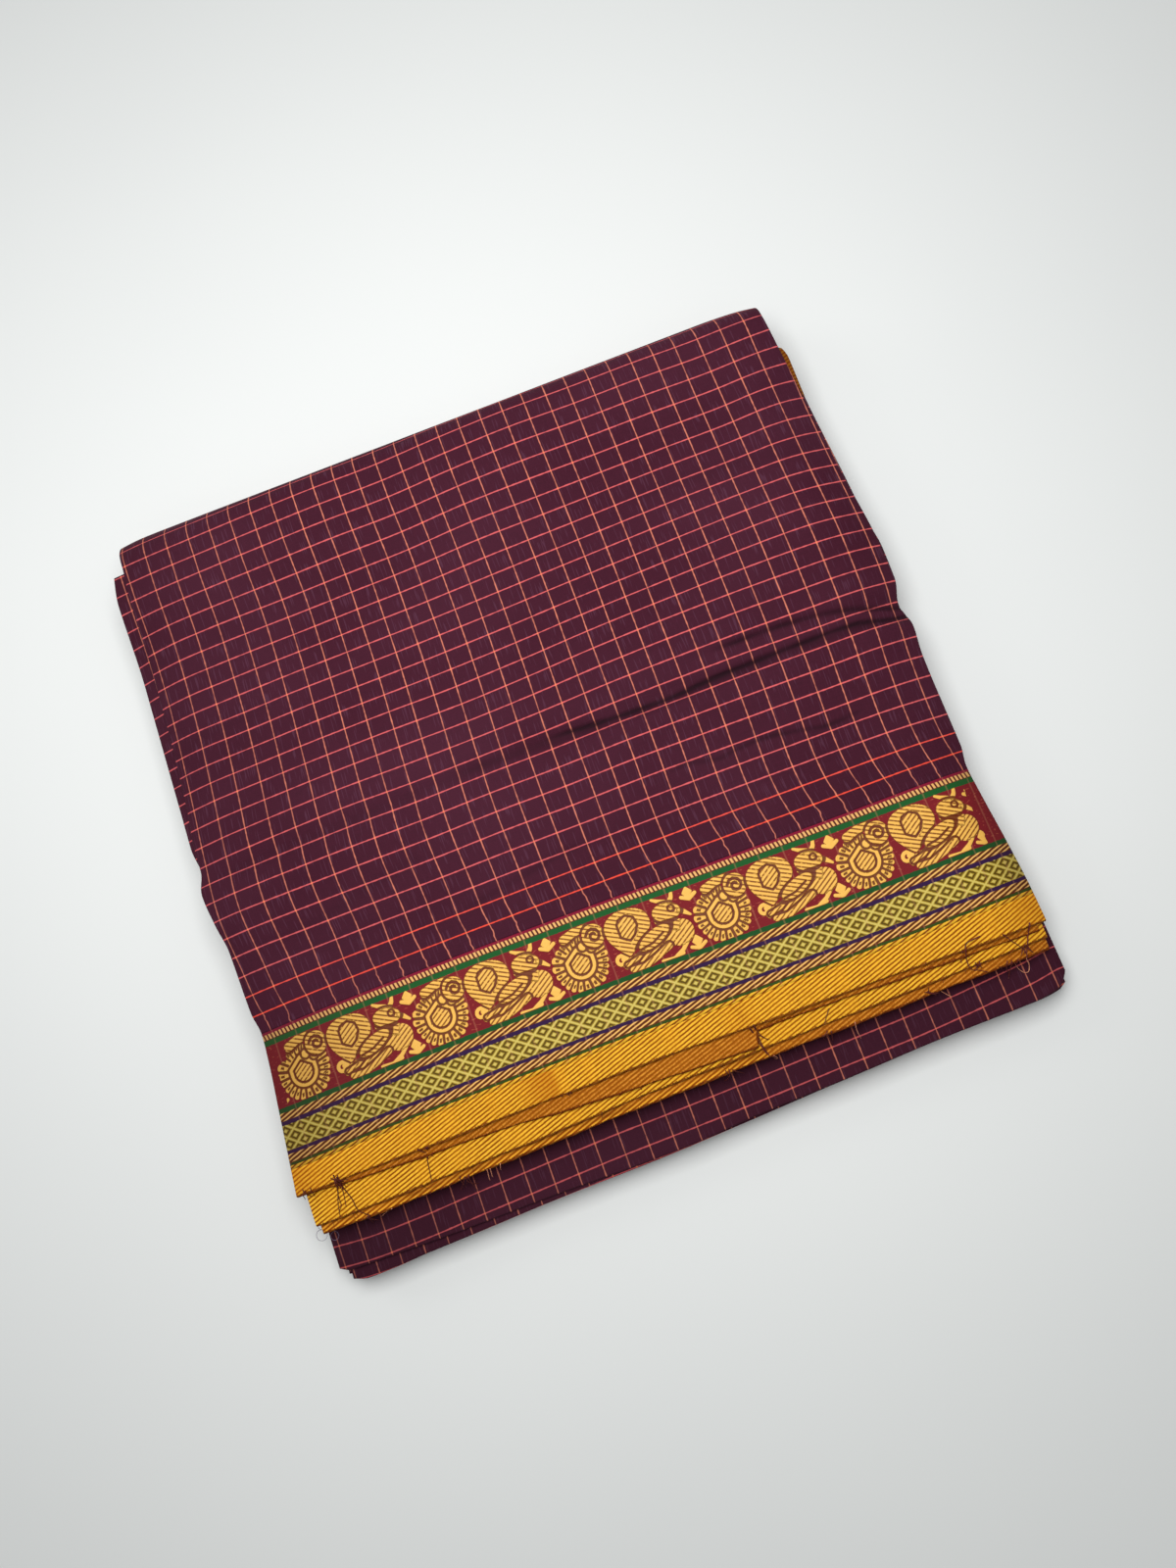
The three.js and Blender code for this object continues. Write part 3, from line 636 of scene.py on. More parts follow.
def spread_leaf(columns, column, left, right, radius):
    """X and the cloth coordinate along the border for each point, and its drop from the leaf's top."""
    share, side, turn, tuck = (columns[key][column] for key in ("share", "side", "turn", "tuck"))
    base = left + radius + (right - left - 2 * radius) * share
    x = base + side * (radius * np.sin(turn) - tuck)
    return x, base + side * (radius * turn + tuck), radius * (1 - np.cos(turn))


# %% [markdown]
# All leaves follow one path: over the top to the back fold, half a circle round it, and forward again
# underneath. A point is given by how far along that path it lies, and how far out from the plane
# between the stacks.

# %% Path over the top, round the back and underneath
BACK_TURN = math.pi * STACK


def back_turn(x, path):
    """Angle round the back fold: 0 on top, pi underneath."""
    return np.clip((path - turn_line(x)) / STACK, 0, math.pi)


def sides(path):
    """Left and right edge of the outermost leaf along its path."""
    share = smooth(path, BACK_FOLD, BACK_FOLD + BACK_TURN)
    over = np.minimum(path, BACK_FOLD)
    under = BACK_FOLD - np.maximum(path - BACK_FOLD - BACK_TURN, 0)
    top, low = edges(TOP_EDGES, over), edges(LOWER_EDGES, under)
    return tuple(a * (1 - share) + b * share for a, b in zip(top, low))


def outer_reach(x, path):
    """How far the outermost leaf's face is from the plane between the stacks."""
    turn = back_turn(x, path)
    share = smooth(turn, 0, math.pi)
    over = np.minimum(path, turn_line(x))
    under = turn_line(x) - np.maximum(path - turn_line(x) - BACK_TURN, 0)
    rise = (top_relief(x, over) + fine_relief(x, over)) * (turn <= 0)
    return STACK + rise - upper_drop(x, over) * (1 - share) - under_drop(x, under) * share


def lay_down(x, path, reach):
    """The place in space of a point on the path, at a reach from the plane between the stacks."""
    back = turn_line(x)
    turn = back_turn(x, path)
    beyond = np.maximum(path - back - BACK_TURN, 0)
    y = np.minimum(path, back) + reach * np.sin(turn) - beyond
    return x, y, STACK + reach * np.cos(turn)


print("path round the back fold:", round(BACK_TURN, 1), "mm")

# %% [markdown]
# ## The body cloth
# The plum cloth with its checks is the piece one sees first. It covers the top of the upper stack,
# goes round the back fold and ends underneath. Its rows follow the woven lines, and they lie closer
# together where it is creased.

# %% Body cloth
def over_drift(x, rows):
    """Y of the row `rows` at x."""
    return rows + drift("end", x, rows)


def top_sheet(rows, columns, relief=None):
    """A shape for the leaf on top, whose rows and columns are woven lines."""

    def shape(row, column):
        over = rows[row]
        along = spread_leaf(columns, column, *sides(over), LEAF / 2)[1]
        path = over_drift(along, over)
        x, along, drop = spread_leaf(columns, column, *sides(path), LEAF / 2)
        along = along - drift("side", along, over)
        reach = outer_reach(x, path) - drop
        if relief:
            reach = reach + relief(along, over) * (drop < LEAF / 2)
        return (*lay_down(x, path, reach), along, over)

    return shape


def body_marks(along, over):
    """How much shade is painted into the body cloth at each point, along its fine creases."""
    x, y = along + drift("side", along, over), over_drift(along, over)
    return {"pressed": painted_crease_shade(x, y)}


CREASED_TO = 28
CLOSE_ROWS, WIDE_ROWS = 0.7, 2.1
back_end = BACK_FOLD + BACK_TURN + (BACK_FOLD - UNDER_SEAM)
close_rows = np.arange(BORDER_SEAM, CREASED_TO, CLOSE_ROWS)
body_rows = np.concatenate((close_rows, np.arange(CREASED_TO, back_end, WIDE_ROWS), [back_end]))
body_columns = across_leaf(160)
body_shape = top_sheet(body_rows, body_columns)
body_cloth = bend_sheet("body_cloth", len(body_rows), body_columns, body_shape, marks=body_marks)
print("body cloth:", len(body_cloth.data.polygons), "faces")

# %% [markdown]
# ## The brocade border
# Birds, leaves and round flowers in gold silk stand on a maroon ground, one after another along the
# border. This is an old and common kind of border, and here it is drawn afresh from ovals and
# strokes. For each point of the cloth, a formula says how far inside the gold it is, how far inside
# a dark line, and how the silk's short hatching runs. The material colours the cloth by these.

# %% Figures of the border
REPEAT = 57.8
BAND_HALF = 12.1


def oval(x, y, centre_x, centre_y, reach_x, reach_y, turn=0.0):
    """How far inside a turned oval a place is; below 0 outside."""
    cos, sin = math.cos(math.radians(turn)), math.sin(math.radians(turn))
    dx, dy = x - centre_x, y - centre_y
    along, over = (dx * cos + dy * sin) / reach_x, (dy * cos - dx * sin) / reach_y
    return (1 - np.hypot(along, over)) * min(reach_x, reach_y)


def stroke(x, y, points, start_width, end_width=None):
    """How far inside a line with a width a place is; the width may change from end to end."""
    end_width = start_width if end_width is None else end_width
    inside = np.full(np.broadcast(x, y).shape, -99.0)
    pieces = len(points) - 1
    for k in range(pieces):
        (ax, ay), (bx, by) = points[k], points[k + 1]
        length = (bx - ax) ** 2 + (by - ay) ** 2
        t = np.clip(((x - ax) * (bx - ax) + (y - ay) * (by - ay)) / length, 0, 1)
        half = (start_width + (end_width - start_width) * (k + t) / pieces) / 2
        inside = np.maximum(inside, half - np.hypot(x - ax - t * (bx - ax), y - ay - t * (by - ay)))
    return inside


def coil(centre_x, centre_y, start, turns, outer, inner, steps=14):
    """Points of a spiral from its outside in; start is an angle in degrees, and turns may be negative."""
    share = np.linspace(0, 1, steps)
    angle = np.radians(start) + 2 * math.pi * turns * share
    reach = outer + (inner - outer) * share
    return list(zip(centre_x + reach * np.cos(angle), centre_y + reach * np.sin(angle)))


def leaf_shape(x, y):
    """The broad leaf: round above, and drawn in to a tip at the lower left."""
    above = 9.2 * np.sqrt(np.clip(1 - (np.maximum(y - 4.6, 0) / 7.4) ** 2.6, 0, 1))
    fall = np.clip((4.6 - y) / 10.6, 0, 1)
    half = np.where(y > 4.6, above, 9.2 * (1 - fall ** 1.7))
    inside = (half - np.abs(x - 0.3 + 2.6 * fall ** 1.5)) * 0.85
    return np.where(y < -6.0, -2.0, np.minimum(inside, 12.1 - y))


PETALS = 22
FLOWER_X = -21.3


def flower_shape(x, y):
    """The round flower: petals with gaps between their tips, and the turn and reach from its middle."""
    dx, dy = x - FLOWER_X, y + 2.1
    reach = np.hypot(dx, dy * 1.04)
    angle = np.arctan2(dy, dx)
    turn = (angle / (2 * math.pi) + 0.5) * PETALS + 0.25 * np.sin(3 * angle + 1)
    lobe = np.abs(np.sin(math.pi * turn))
    return 9.8 + 0.3 * np.sin(5 * angle) + 1.4 * lobe**0.5 - reach, turn, reach


def collar_shape(x, y, reach):
    """The shield round the flower's heart: round below, and pointed above."""
    dx, dy = np.abs(x - FLOWER_X), y + 2.4
    above = np.maximum(dx, 0.62 * dx + 0.86 * dy)
    return reach - np.where(dy > 0, above, np.hypot(dx, dy * 1.02))


HATCH = 1.8


def brocade(along, down):
    """Distance inside the gold figures, distance inside their dark lines, and the hatching's phase."""
    gold = np.full(along.shape, -99.0)
    dark = np.full(along.shape, -99.0)
    hatch = np.zeros(along.shape)
    for shift in (-REPEAT, 0.0, REPEAT):
        x = (along + REPEAT / 2) % REPEAT - REPEAT / 2 + shift
        y = BAND_HALF - down
        rising, falling = (y - 0.66 * x) / HATCH, (y + 0.52 * x) / HATCH

        def lay(inside, phase, edge=0.0):
            nonlocal gold, hatch, dark
            here = inside > gold if edge == 0 else inside > -0.2
            hatch = np.where((inside > -0.4) & here, phase, hatch)
            gold = np.maximum(gold, inside)
            if edge:
                rim = edge / 2 - np.abs(inside + edge / 2)
                dark = np.where(inside > 0, np.minimum(dark, -0.3), dark)
                dark = np.maximum(dark, rim)

        def draw(points, width):
            nonlocal dark
            dark = np.maximum(dark, stroke(x, y, points, width))

        # round flower: petals, collar and heart
        petals, turn, reach = flower_shape(x, y)
        lay(petals, 0.5 + 0.3 * np.sin(reach * 1.9))
        notch = 0.32 - np.abs((turn + 0.5) % 1 - 0.5) * 2 * math.pi * reach / PETALS
        dark = np.maximum(dark, np.where((reach > 6.6) & (reach < 12), notch, -9))
        vein = 0.22 - np.abs(turn % 1 - 0.5) * 2 * math.pi * reach / PETALS
        dark = np.maximum(dark, np.where((reach > 8.4) & (reach < 10.2), vein, -9))
        lay(collar_shape(x, y, 5.9), 0.5, 0.6)
        heart = collar_shape(x, y, 3.9)
        dark = np.maximum(dark, 0.30 - np.abs(heart))
        hatch = np.where(heart > -0.3, rising, hatch)
        # scroll over the flower, and two round petals under it
        lay(oval(x, y, -18.6, 3.9, 1.7, 1.7), 0.5, 0.5)
        lay(oval(x, y, -15.4, 2.2, 1.6, 1.5), 0.5, 0.5)
        lay(stroke(x, y, [(-24.6, 8.6), (-20.2, 10.1), (-14.8, 10.3)], 3.8, 3.2), falling, 0.6)
        lay(oval(x, y, -13.2, 6.4, 4.6, 4.7), falling, 0.6)
        draw(coil(-13.0, 6.3, 165, -1.35, 3.1, 0.8), 0.78)
        # bird: neck and body, breast, lower feathers, curl of the tail
        lay(stroke(x, y, [(13.6, 3.6), (16.0, 0.6), (18.6, -2.4)], 6.0, 8.0), falling)
        lay(stroke(x, y, [(-4.5, -8.6), (3.5, -7.2), (12.0, -4.8), (18.0, -2.8)], 3.6, 8.4), rising)
        lay(oval(x, y, 18.9, -3.6, 5.4, 4.9, 30), rising)
        lay(stroke(x, y, [(-3.2, -11.0), (1.8, -11.4), (8.0, -9.2), (13, -7.0)], 2.4, 2.8), rising, 0.6)
        lay(stroke(x, y, [(-4.6, -8.6), (0.0, -7.6), (4.4, -5.0)], 1.8, 1.4), rising, 0.55)
        lay(stroke(x, y, coil(-6.2, -6.5, -20, 1.15, 2.5, 0.8), 1.5), 0.5)
        # leaf, with a smaller leaf inside
        lay(leaf_shape(x, y), falling, 0.6)
        small_leaf = oval(x, y, 0.4, 4.6, 3.9, 5.0, -8)
        hatch = np.where((small_leaf > 0) & (x > -3.3), rising, hatch)
        draw([(-3.4, 1.9), (-3.4, 6.8), (-2.2, 8.6), (0.9, 9.5), (3.7, 7.9), (4.2, 4.6)], 0.62)
        draw([(4.2, 4.6), (2.2, 1.4), (-0.2, -0.3), (-3.4, 1.9)], 0.62)
        # wing, with one long feather
        lay(oval(x, y, 8.6, -2.2, 7.6, 3.0, 22), falling, 0.6)
        draw([(2.6, -4.9), (7.4, -4.0), (12.6, -1.4)], 0.55)
        # head, eye, beak and crest
        lay(oval(x, y, 16.3, 5.5, 5.7, 3.7, -6), falling, 0.6)
        lay(stroke(x, y, [(20.6, 4.8), (22.8, 3.4), (24.8, 1.6)], 2.8, 1.0), 0.5)
        draw([(13.6, 2.4), (17.5, 2.2), (21.6, 2.2)], 0.6)
        draw(coil(18.4, 6.2, -60, 1.0, 1.5, 1.1, 10), 0.5)
        lay(stroke(x, y, [(12.4, 11.6), (14.4, 10.4), (17.0, 9.2)], 1.1, 2.0), 0.5)
        lay(stroke(x, y, [(20.6, 12.0), (20.0, 10.2), (18.8, 8.8)], 1.4, 2.0), 0.5)
        # feet and the ground below
        lay(stroke(x, y, [(8.6, -11.7), (13.0, -12.0), (17.2, -11.4)], 1.2), 0.5)
        lay(stroke(x, y, [(14.2, -11.6), (17.6, -10.0), (19.6, -8.0)], 1.3, 1.8), 0.5)
        # buds
        lay(2.2 - np.abs(x - 26.4) - 0.9 * np.abs(y - 10.0), 0.5)
        lay(stroke(x, y, [(23.6, 8.7), (26.4, 7.3), (29.2, 8.9)], 1.5), 0.5)
        lay(2.3 - np.abs(x - 23.7) - 0.9 * np.abs(y + 8.7), 0.5)
        lay(stroke(x, y, [(20.8, -10.4), (23.7, -11.6), (26.5, -10.0)], 1.4), 0.5)
    return gold, dark, hatch


# %% [markdown]
# The border cloth has its points closest together in the brocade, so that each line of a figure has
# points to carry its mark.

# %% Border cloth
SELVEDGE_SEAM = -111.5
LEAF_AXIS = -54.75
BROCADE_TOP = 5.35
BROCADE_END = 29.55
SILK_RISE = 0.16
ROW_SPANS = [
    # from and to, down from the seam, and the number of rows: closest in the brocade
    (BORDER_SEAM - SELVEDGE_SEAM, 46, 4), (46, 36, 6), (36, BROCADE_END, 4),
    (BROCADE_END, BROCADE_TOP, 55), (BROCADE_TOP, 0, 4),
]
spans = [np.linspace(start, end, count, endpoint=False) for start, end, count in ROW_SPANS]
border_rows = BORDER_SEAM - np.concatenate((*spans, [0]))
border_columns = across_leaf(630)


def figure_marks(along, over):
    """Marks for the material: inside the gold, inside the dark lines, and the hatching's phase."""
    down = BORDER_SEAM - over
    gold, dark, hatch = brocade(along - LEAF_AXIS, down - BROCADE_TOP)
    inside = np.minimum(down - BROCADE_TOP, BROCADE_END - down)
    gold = np.minimum(gold, inside)
    upper = down < BROCADE_TOP + 7.5
    gold = np.where((along > 143.4) | (along < -144.6) | (upper & (along < -139)), -2, gold)
    return {"gold": np.clip(gold, -2, 2), "dark": np.clip(dark, -2, 2), "hatch": hatch}


def silk_relief(along, over):
    """The gold silk stands a little above the ground."""
    marks = figure_marks(along, over)
    return SILK_RISE * smooth(marks["gold"], -0.3, 0.5) * (1 - 0.7 * smooth(marks["dark"], -0.4, 0.1))


border_shape = top_sheet(border_rows, border_columns, silk_relief)
border_cloth = bend_sheet("border_cloth", len(border_rows), border_columns, border_shape, marks=figure_marks)
print("border cloth:", len(border_cloth.data.polygons), "faces")

# %% [markdown]
# ## The selvedges at the front
# Under the border, the selvedge is a plain golden twill with a raw edge. More leaves look out from
# under it, each a step lower: a strip of the twill's brown reverse, a second golden selvedge, and
# another brown strip. They are single sheets, cut straight at the front.

# %% Selvedge cloths
STRIP_BACK = UPPER_END - GAP
FRONT_ROWS = 18
FRONT_GUESS = -118.0
PAINTED_SHADE_BARS = {
    # painted shade: darker bars where the selvedge on top was folded before, and at both ends by its side
    # folds
    "at": [-150, -136, -120, -60, -50, -44, -41, -30, 24, 32, 38, 130, 150],
    "shade": [0.45, 0.15, 0.1, 0.05, 0.45, 0.55, 0.0, 0.0, 0.05, 0.22, 0.0, 0.05, 0.35],
}


def front_sheet(
    name, front, back, depth, columns, left=None, right=None, thick=STRIP, cut=None, second_to=-200
):
    """A leaf that ends at the front in the edge given by a table."""

    def shape(row, column):
        share = row / (FRONT_ROWS - 1)
        place = np.full(row.shape, FRONT_GUESS)
        for _ in range(3):
            edge = sides(place) if left is None else (-HALF_PANEL - left, HALF_PANEL + right)
            x, along, drop = spread_leaf(columns, column, *edge, thick / 2)
            wave = 0.20 * np.sin(x / 11 + depth) + 0.12 * np.sin(x / 4.3 + 2 * depth)
            start = read(front, "front", x) + wave + 0.07 * np.sin(x / 1.4 + depth)
            place = start + (back(along) - start) * share**1.5
        reach = outer_reach(x, place) - depth - drop
        curl = -0.5 * np.exp(-share * 9) + 0.15 * np.sin(x / 17 + depth * 2) * np.exp(-share * 4)
        return (*lay_down(x, place, reach + curl), along, place)

    def edge_and_shade_marks(along, over):
        hem = over - read(front, "front", along)
        if cut:
            beside = np.where((along < cut) & (over < read(front, "front", cut + 1)), cut - along, 9)
            hem = np.minimum(hem, np.maximum(beside, 0))
        under = 1 - smooth(along, second_to - 3, second_to)
        return {
            "hem": np.clip(hem, 0, 9),
            # painted shade of the bars, on the selvedge on top only
            "pressed": read(PAINTED_SHADE_BARS, "shade", along) * (depth == 0),
            # painted shadow: a dark line between this strip and the golden row painted along its front
            "parting": under * np.exp(-(((hem - 2.3) / 0.4) ** 2)),
            "second_row": under * (1 - smooth(hem, 2.0, 2.4)),
        }

    return bend_sheet(name, FRONT_ROWS, columns, shape, 0.28, edge_and_shade_marks)


def seam_back(along):
    """The border's lower seam, where the selvedge on top begins."""
    return over_drift(along, np.full(along.shape, SELVEDGE_SEAM))


def level_back(along):
    """The straight end of the solids that the lower strips belong to."""
    return np.full(along.shape, STRIP_BACK)


wide_columns = across_leaf(300)
selvedge_cloth = front_sheet(
    "selvedge_cloth", SELVEDGE_FRONT, seam_back, 0.0, wide_columns, thick=LEAF
)
reverse_strip = front_sheet(
    "reverse_strip", REVERSE_FRONT, level_back, REVERSE_DEPTH, wide_columns, 1.0, 2.0, cut=34.7
)
second_selvedge = front_sheet(
    "second_selvedge", SECOND_FRONT, level_back, SECOND_DEPTH, wide_columns, 2.8, 4.3
)
second_reverse = front_sheet(
    "second_reverse", SECOND_REVERSE_FRONT, level_back, SECOND_REVERSE_DEPTH, wide_columns, 1.3, 3.6,
    second_to=38,
)
print("selvedge sheets: 4")

# %% [markdown]
# Under these four, the edges of the other selvedges lie close together. They are made as thin
# sheets, each standing out a little differently, so that the front shows many edges and not a block.

# %% Selvedge edges below
EDGE_LEAVES = 6
edge_columns = across_leaf(40)


def edge_leaf(k):
    """One of the lower selvedges; k counts from the plane between the stacks upwards."""

    def shape(row, column):
        share = row / (FRONT_ROWS - 1)
        left, right = -HALF_PANEL + 0.4 - 1.0 * ((k * 0.37) % 1), HALF_PANEL - 0.2 + 1.2 * ((k * 0.61) % 1)
        place = np.full(row.shape, FRONT_GUESS)
        for _ in range(2):
            x, along, drop = spread_leaf(edge_columns, column, left, right, 0.35)
            start = read(SELVEDGE_EDGES_FRONT, "front", x) + 0.5 + 1.1 * ((k * 0.73) % 1)
            start = start + 0.35 * np.sin(x / 15 + 2.1 * k)
            place = start + (STRIP_BACK - start) * share
        room = np.maximum(outer_reach(x, place) - EDGES_DEPTH - SLIT, 0.5)
        reach = SLIT + room * (k + 0.92) / EDGE_LEAVES - np.minimum(drop, room / EDGE_LEAVES * 0.9)
        return (*lay_down(x, place, reach), along + 31 * k, place)

    return bend_sheet(f"edge_{k}", FRONT_ROWS, edge_columns, shape, wall=0.25)


selvedge_edges = join_sheets("selvedge_edges", [edge_leaf(k) for k in range(EDGE_LEAVES)])
print("lower selvedges:", EDGE_LEAVES)

# %% [markdown]
# ## The centre folds
# Below, the lower stack ends in folds: here the cloth was doubled, so each leaf turns through half a
# circle at the front. Two of them show broadly and the rest are seen only as rounded edges.

# %% Folds at the front of the lower stack
FOLD_BACK = LOWER_END - GAP
FOLD_TUCK = 16.0
FOLD_ROWS = 24


def fold_top(x, top):
    """Height of a centre fold's top, lower at both sides."""
    left, right = -HALF_PANEL, HALF_PANEL + 2
    return top - round_off(x - left, FOLD_DROP) - round_off(right - x, FOLD_DROP)


FOLD_LINE = {
    "at": [-150, -130, -110, -90, -70, -50, -30, 0, 30, 60, 90, 110, 130, 140, 150],
    "line": [-146, -147, -146.6, -145.6, -144.8, -144, -143.3, -142.8, -142, -141, -140.2, -139, -137.4,
             -136.5, -135],
}
FOLD_WEFT = {"at": 0.9, "pitch": 9.82}
FOLD_WARP_PITCH = 8.25


def fold_weave(along, over, shift):
    """Cloth coordinates on a fold, where the checks lie a little wider than on top."""
    wefts = FIRST_WEFT + (along - FOLD_WEFT["at"]) * WEFT_PITCH / FOLD_WEFT["pitch"]
    warps = FIRST_WARP + (over - read(FOLD_LINE, "line", along)) * WARP_PITCH / FOLD_WARP_PITCH
    return wefts + shift, warps + shift


def centre_fold(name, front, left, right, top, thick, columns, shift):
    """A leaf whose front is a fold and whose sides are folded too."""
    radius = thick / 2
    turn = np.linspace(math.pi, 0, TURN_STEPS + 1)
    flat_rows = FOLD_ROWS - TURN_STEPS - 2
    row_turn = np.concatenate(([math.pi], turn, np.zeros(flat_rows)))
    row_share = np.concatenate(([0], 0 * turn, np.linspace(0, 1, flat_rows + 1)[1:] ** 1.2))
    row_tuck = np.concatenate(([FOLD_TUCK], 0 * turn, np.zeros(flat_rows)))

    def shape(row, column):
        x, along, drop = spread_leaf(columns, column, left, right, radius)
        start = read(front, "front", x) + radius + 0.18 * np.sin(x / 13 + 3 * shift)
        place = start + (FOLD_BACK - start) * row_share[row]
        y = place - radius * np.sin(row_turn[row]) + row_tuck[row]
        over = place - radius * row_turn[row] - row_tuck[row]
        drop = np.maximum(drop, radius * (1 - np.cos(row_turn[row])))
        height = top(x, y) + 0.12 * np.sin(x / 21 + shift) * np.exp((FOLD_BACK - 45 - y) / 12)
        return (x, y, height - drop, *fold_weave(along, over, shift))

    def shaded(along, over):
        # painted shade: the centre folds lie in shade under the selvedges, so their colour is darkened all
        # over, a little more at the left end
        return {"pressed": 0.42 - 0.12 * smooth(along, -150, -90)}

    return bend_sheet(name, FOLD_ROWS, columns, shape, marks=shaded)


fold_columns = across_leaf(120)
first_fold = centre_fold(
    "first_fold", FIRST_FOLD_FRONT, -HALF_PANEL - 2.2, HALF_PANEL + 6.4,
    lambda x, y: fold_top(x, FIRST_FOLD_TOP), LEAF, fold_columns, 0.0,
)
second_fold = centre_fold(
    "second_fold", SECOND_FOLD_FRONT, -HALF_PANEL + 1.7, HALF_PANEL + 5.0,
    lambda x, y: fold_top(x, SECOND_FOLD_TOP), LEAF, fold_columns, -2.2,
)

CENTRE_FOLDS = 8
narrow_columns = across_leaf(40)


def lower_fold(k):
    """One of the folds under the first two; k counts from the bottom."""
    high = (k + 0.97) / CENTRE_FOLDS
    aside, ahead = ((k * 0.37) % 1), ((k * 0.71) % 1)
    rows = {"at": CENTRE_FOLDS_FRONT["at"], "front": [y + 1.1 * ahead for y in CENTRE_FOLDS_FRONT["front"]]}

    def top(x, y):
        low = LEAF + GAP + under_drop(x, y)
        return low + (fold_top(x, OTHER_FOLDS_TOP) - low) * high

    left, right = -HALF_PANEL - 0.4 + 1.5 * aside, HALF_PANEL + 3.8 - 1.5 * ahead
    thick = (OTHER_FOLDS_TOP - LEAF - GAP) / CENTRE_FOLDS * 0.8
    return centre_fold(f"fold_{k}", rows, left, right, top, thick, narrow_columns, 2.7 * k)


lower_folds = join_sheets("lower_folds", [lower_fold(k) for k in range(CENTRE_FOLDS)])
print("centre folds:", 2 + CENTRE_FOLDS)

# %% [markdown]
# ## The hidden leaves and their side folds
# All leaves between the top and the bottom follow the same path round the back fold. Each is drawn
# in or stands out a little on its own, and with a fold at either side. The dark slits between them
# come from the real gaps.

# %% Hidden leaves
HIDDEN_LEAVES = 11
hidden_columns = across_leaf(26)
lower_path_end = BACK_FOLD + BACK_TURN + (BACK_FOLD - LOWER_END)
hidden_rows = np.concatenate(
    (
        np.linspace(UPPER_END, BACK_FOLD, 46),
        np.linspace(BACK_FOLD, BACK_FOLD + BACK_TURN, 15)[1:],
        np.linspace(BACK_FOLD + BACK_TURN, lower_path_end, 34)[1:],
    )
)


def hidden_leaf(k):
    """Leaf k, counted from the plane between the stacks outwards."""
    phase = 1.9 * k

    def shape(row, column):
        path = hidden_rows[row]
        left, right = sides(path)
        sway = 0.9 * np.sin(path / 31 + phase) + 0.5 * np.sin(path / 12 + 2.3 * phase)
        left = left + 1.9 + 0.8 * sway + 0.7 * math.sin(5 * phase)
        right = right - 1.9 + 0.8 * np.sin(path / 27 + 1.7 * phase) - 0.7 * math.sin(3 * phase)
        x, along, drop = spread_leaf(hidden_columns, column, left, right, 0.42)
        room = np.maximum(outer_reach(x, path) - 1.5 - SLIT, 1.0)
        squeeze = room / HIDDEN_LEAVES
        reach = SLIT + squeeze * (k + 0.96) - np.minimum(drop / 0.84, 1) * squeeze * 0.86
        return (*lay_down(x, path, reach), along + 17.3 * k, path + 2.9 * k)

    return bend_sheet(f"hidden_{k}", len(hidden_rows), hidden_columns, shape, wall=0.18)


hidden_leaves = join_sheets("hidden_leaves", [hidden_leaf(k) for k in range(HIDDEN_LEAVES)])
print("hidden leaves:", HIDDEN_LEAVES, "faces:", len(hidden_leaves.data.polygons))

# %% [markdown]
# Underneath, one flat leaf carries the whole saree. At the sides, three leaves look out from under
# the body cloth: one at the left, one at the right, and a strip of selvedge at the back right.

# %% Bottom leaf and side leaves
bottom_columns = across_leaf(60)
bottom_rows = np.linspace(UNDER_SEAM, FRONT_END, 50)


def bottom_shape(row, column):
    share = row / (len(bottom_rows) - 1)
    y = UNDER_SEAM + (FRONT_END - UNDER_SEAM) * share
    left, right = edges(LOWER_EDGES, y)
    x, along, drop = spread_leaf(bottom_columns, column, left, right, LEAF / 2)
    front = read(CENTRE_FOLDS_FRONT, "front", x) + 1.6
    # the cloth above ends a little slanted underneath, and this leaf starts along the same line
    seam = UNDER_SEAM + 2 * BACK_SLANT * x - drift("end", x, np.full(x.shape, back_end)) - 0.2
    y = seam + (front - seam) * share
    z = under_drop(x, y) + drop
    return x, y, z, along, -y


bottom_leaf = bend_sheet("bottom_leaf", len(bottom_rows), bottom_columns, bottom_shape)


def side_leaf(name, side, table, first, last, tuck, shift):
    """A strip that stands out from under the body cloth at one side."""
    rows = np.linspace(first, last, int((last - first) / 1.5) + 1)
    turn = np.linspace(math.pi, 0, TURN_STEPS + 1)
    inward = np.linspace(0, tuck, 7)[1:]
    steps = np.concatenate(([-tuck * 0.6], 0 * turn, inward))
    angle = np.concatenate(([math.pi], turn, np.zeros(len(inward))))
    if side > 0:
        steps, angle = steps[::-1], angle[::-1]
    radius = LEAF / 2

    def shape(row, column):
        path = rows[row]
        edge = side * (HALF_PANEL + read(table, "out", path) - radius)
        inset = np.abs(steps[column])
        x = edge + side * (radius * np.sin(angle[column]) - inset)
        reach = outer_reach(x, path) - LEAF - GAP - radius * (1 - np.cos(angle[column]))
        along = edge - side * (inset * np.sign(steps[column] + 0.001) - radius * angle[column])
        return (*lay_down(x, path, reach), along + shift, path + shift)

    return bend_sheet(name, len(rows), len(steps), shape)


left_leaf = side_leaf("left_side_cloth", -1, LEFT_LEAF_EDGE, UPPER_END, 144, 9, 3.2)
right_leaf = side_leaf("right_side_cloth", 1, RIGHT_LEAF_EDGE, UPPER_END, 107.4, 9, 4.1)
inner_selvedge = side_leaf("inner_selvedge_cloth", 1, INNER_SELVEDGE_EDGE, 107.9, 139, 7, 0.0)
print("bottom and side leaves: 4")

# %% [markdown]
# ## Frayed ends and loose threads
# The selvedges are raw at the front, so single threads stand out from them: short red-brown ends in
# small bunches, a few longer and a few pale ones that curl, and three thin grey loops at the left
# corner. Each is a thin tube with three sides, and those of one colour are joined in one mesh.

# %% Strands
STRAND_SIDES = 3
RAW_EDGES = [
    # the front edges that ends stand out from, and how deep they lie
    (SELVEDGE_FRONT, 0.0), (SECOND_FRONT, SECOND_DEPTH), (SECOND_REVERSE_FRONT, SECOND_REVERSE_DEPTH),
]


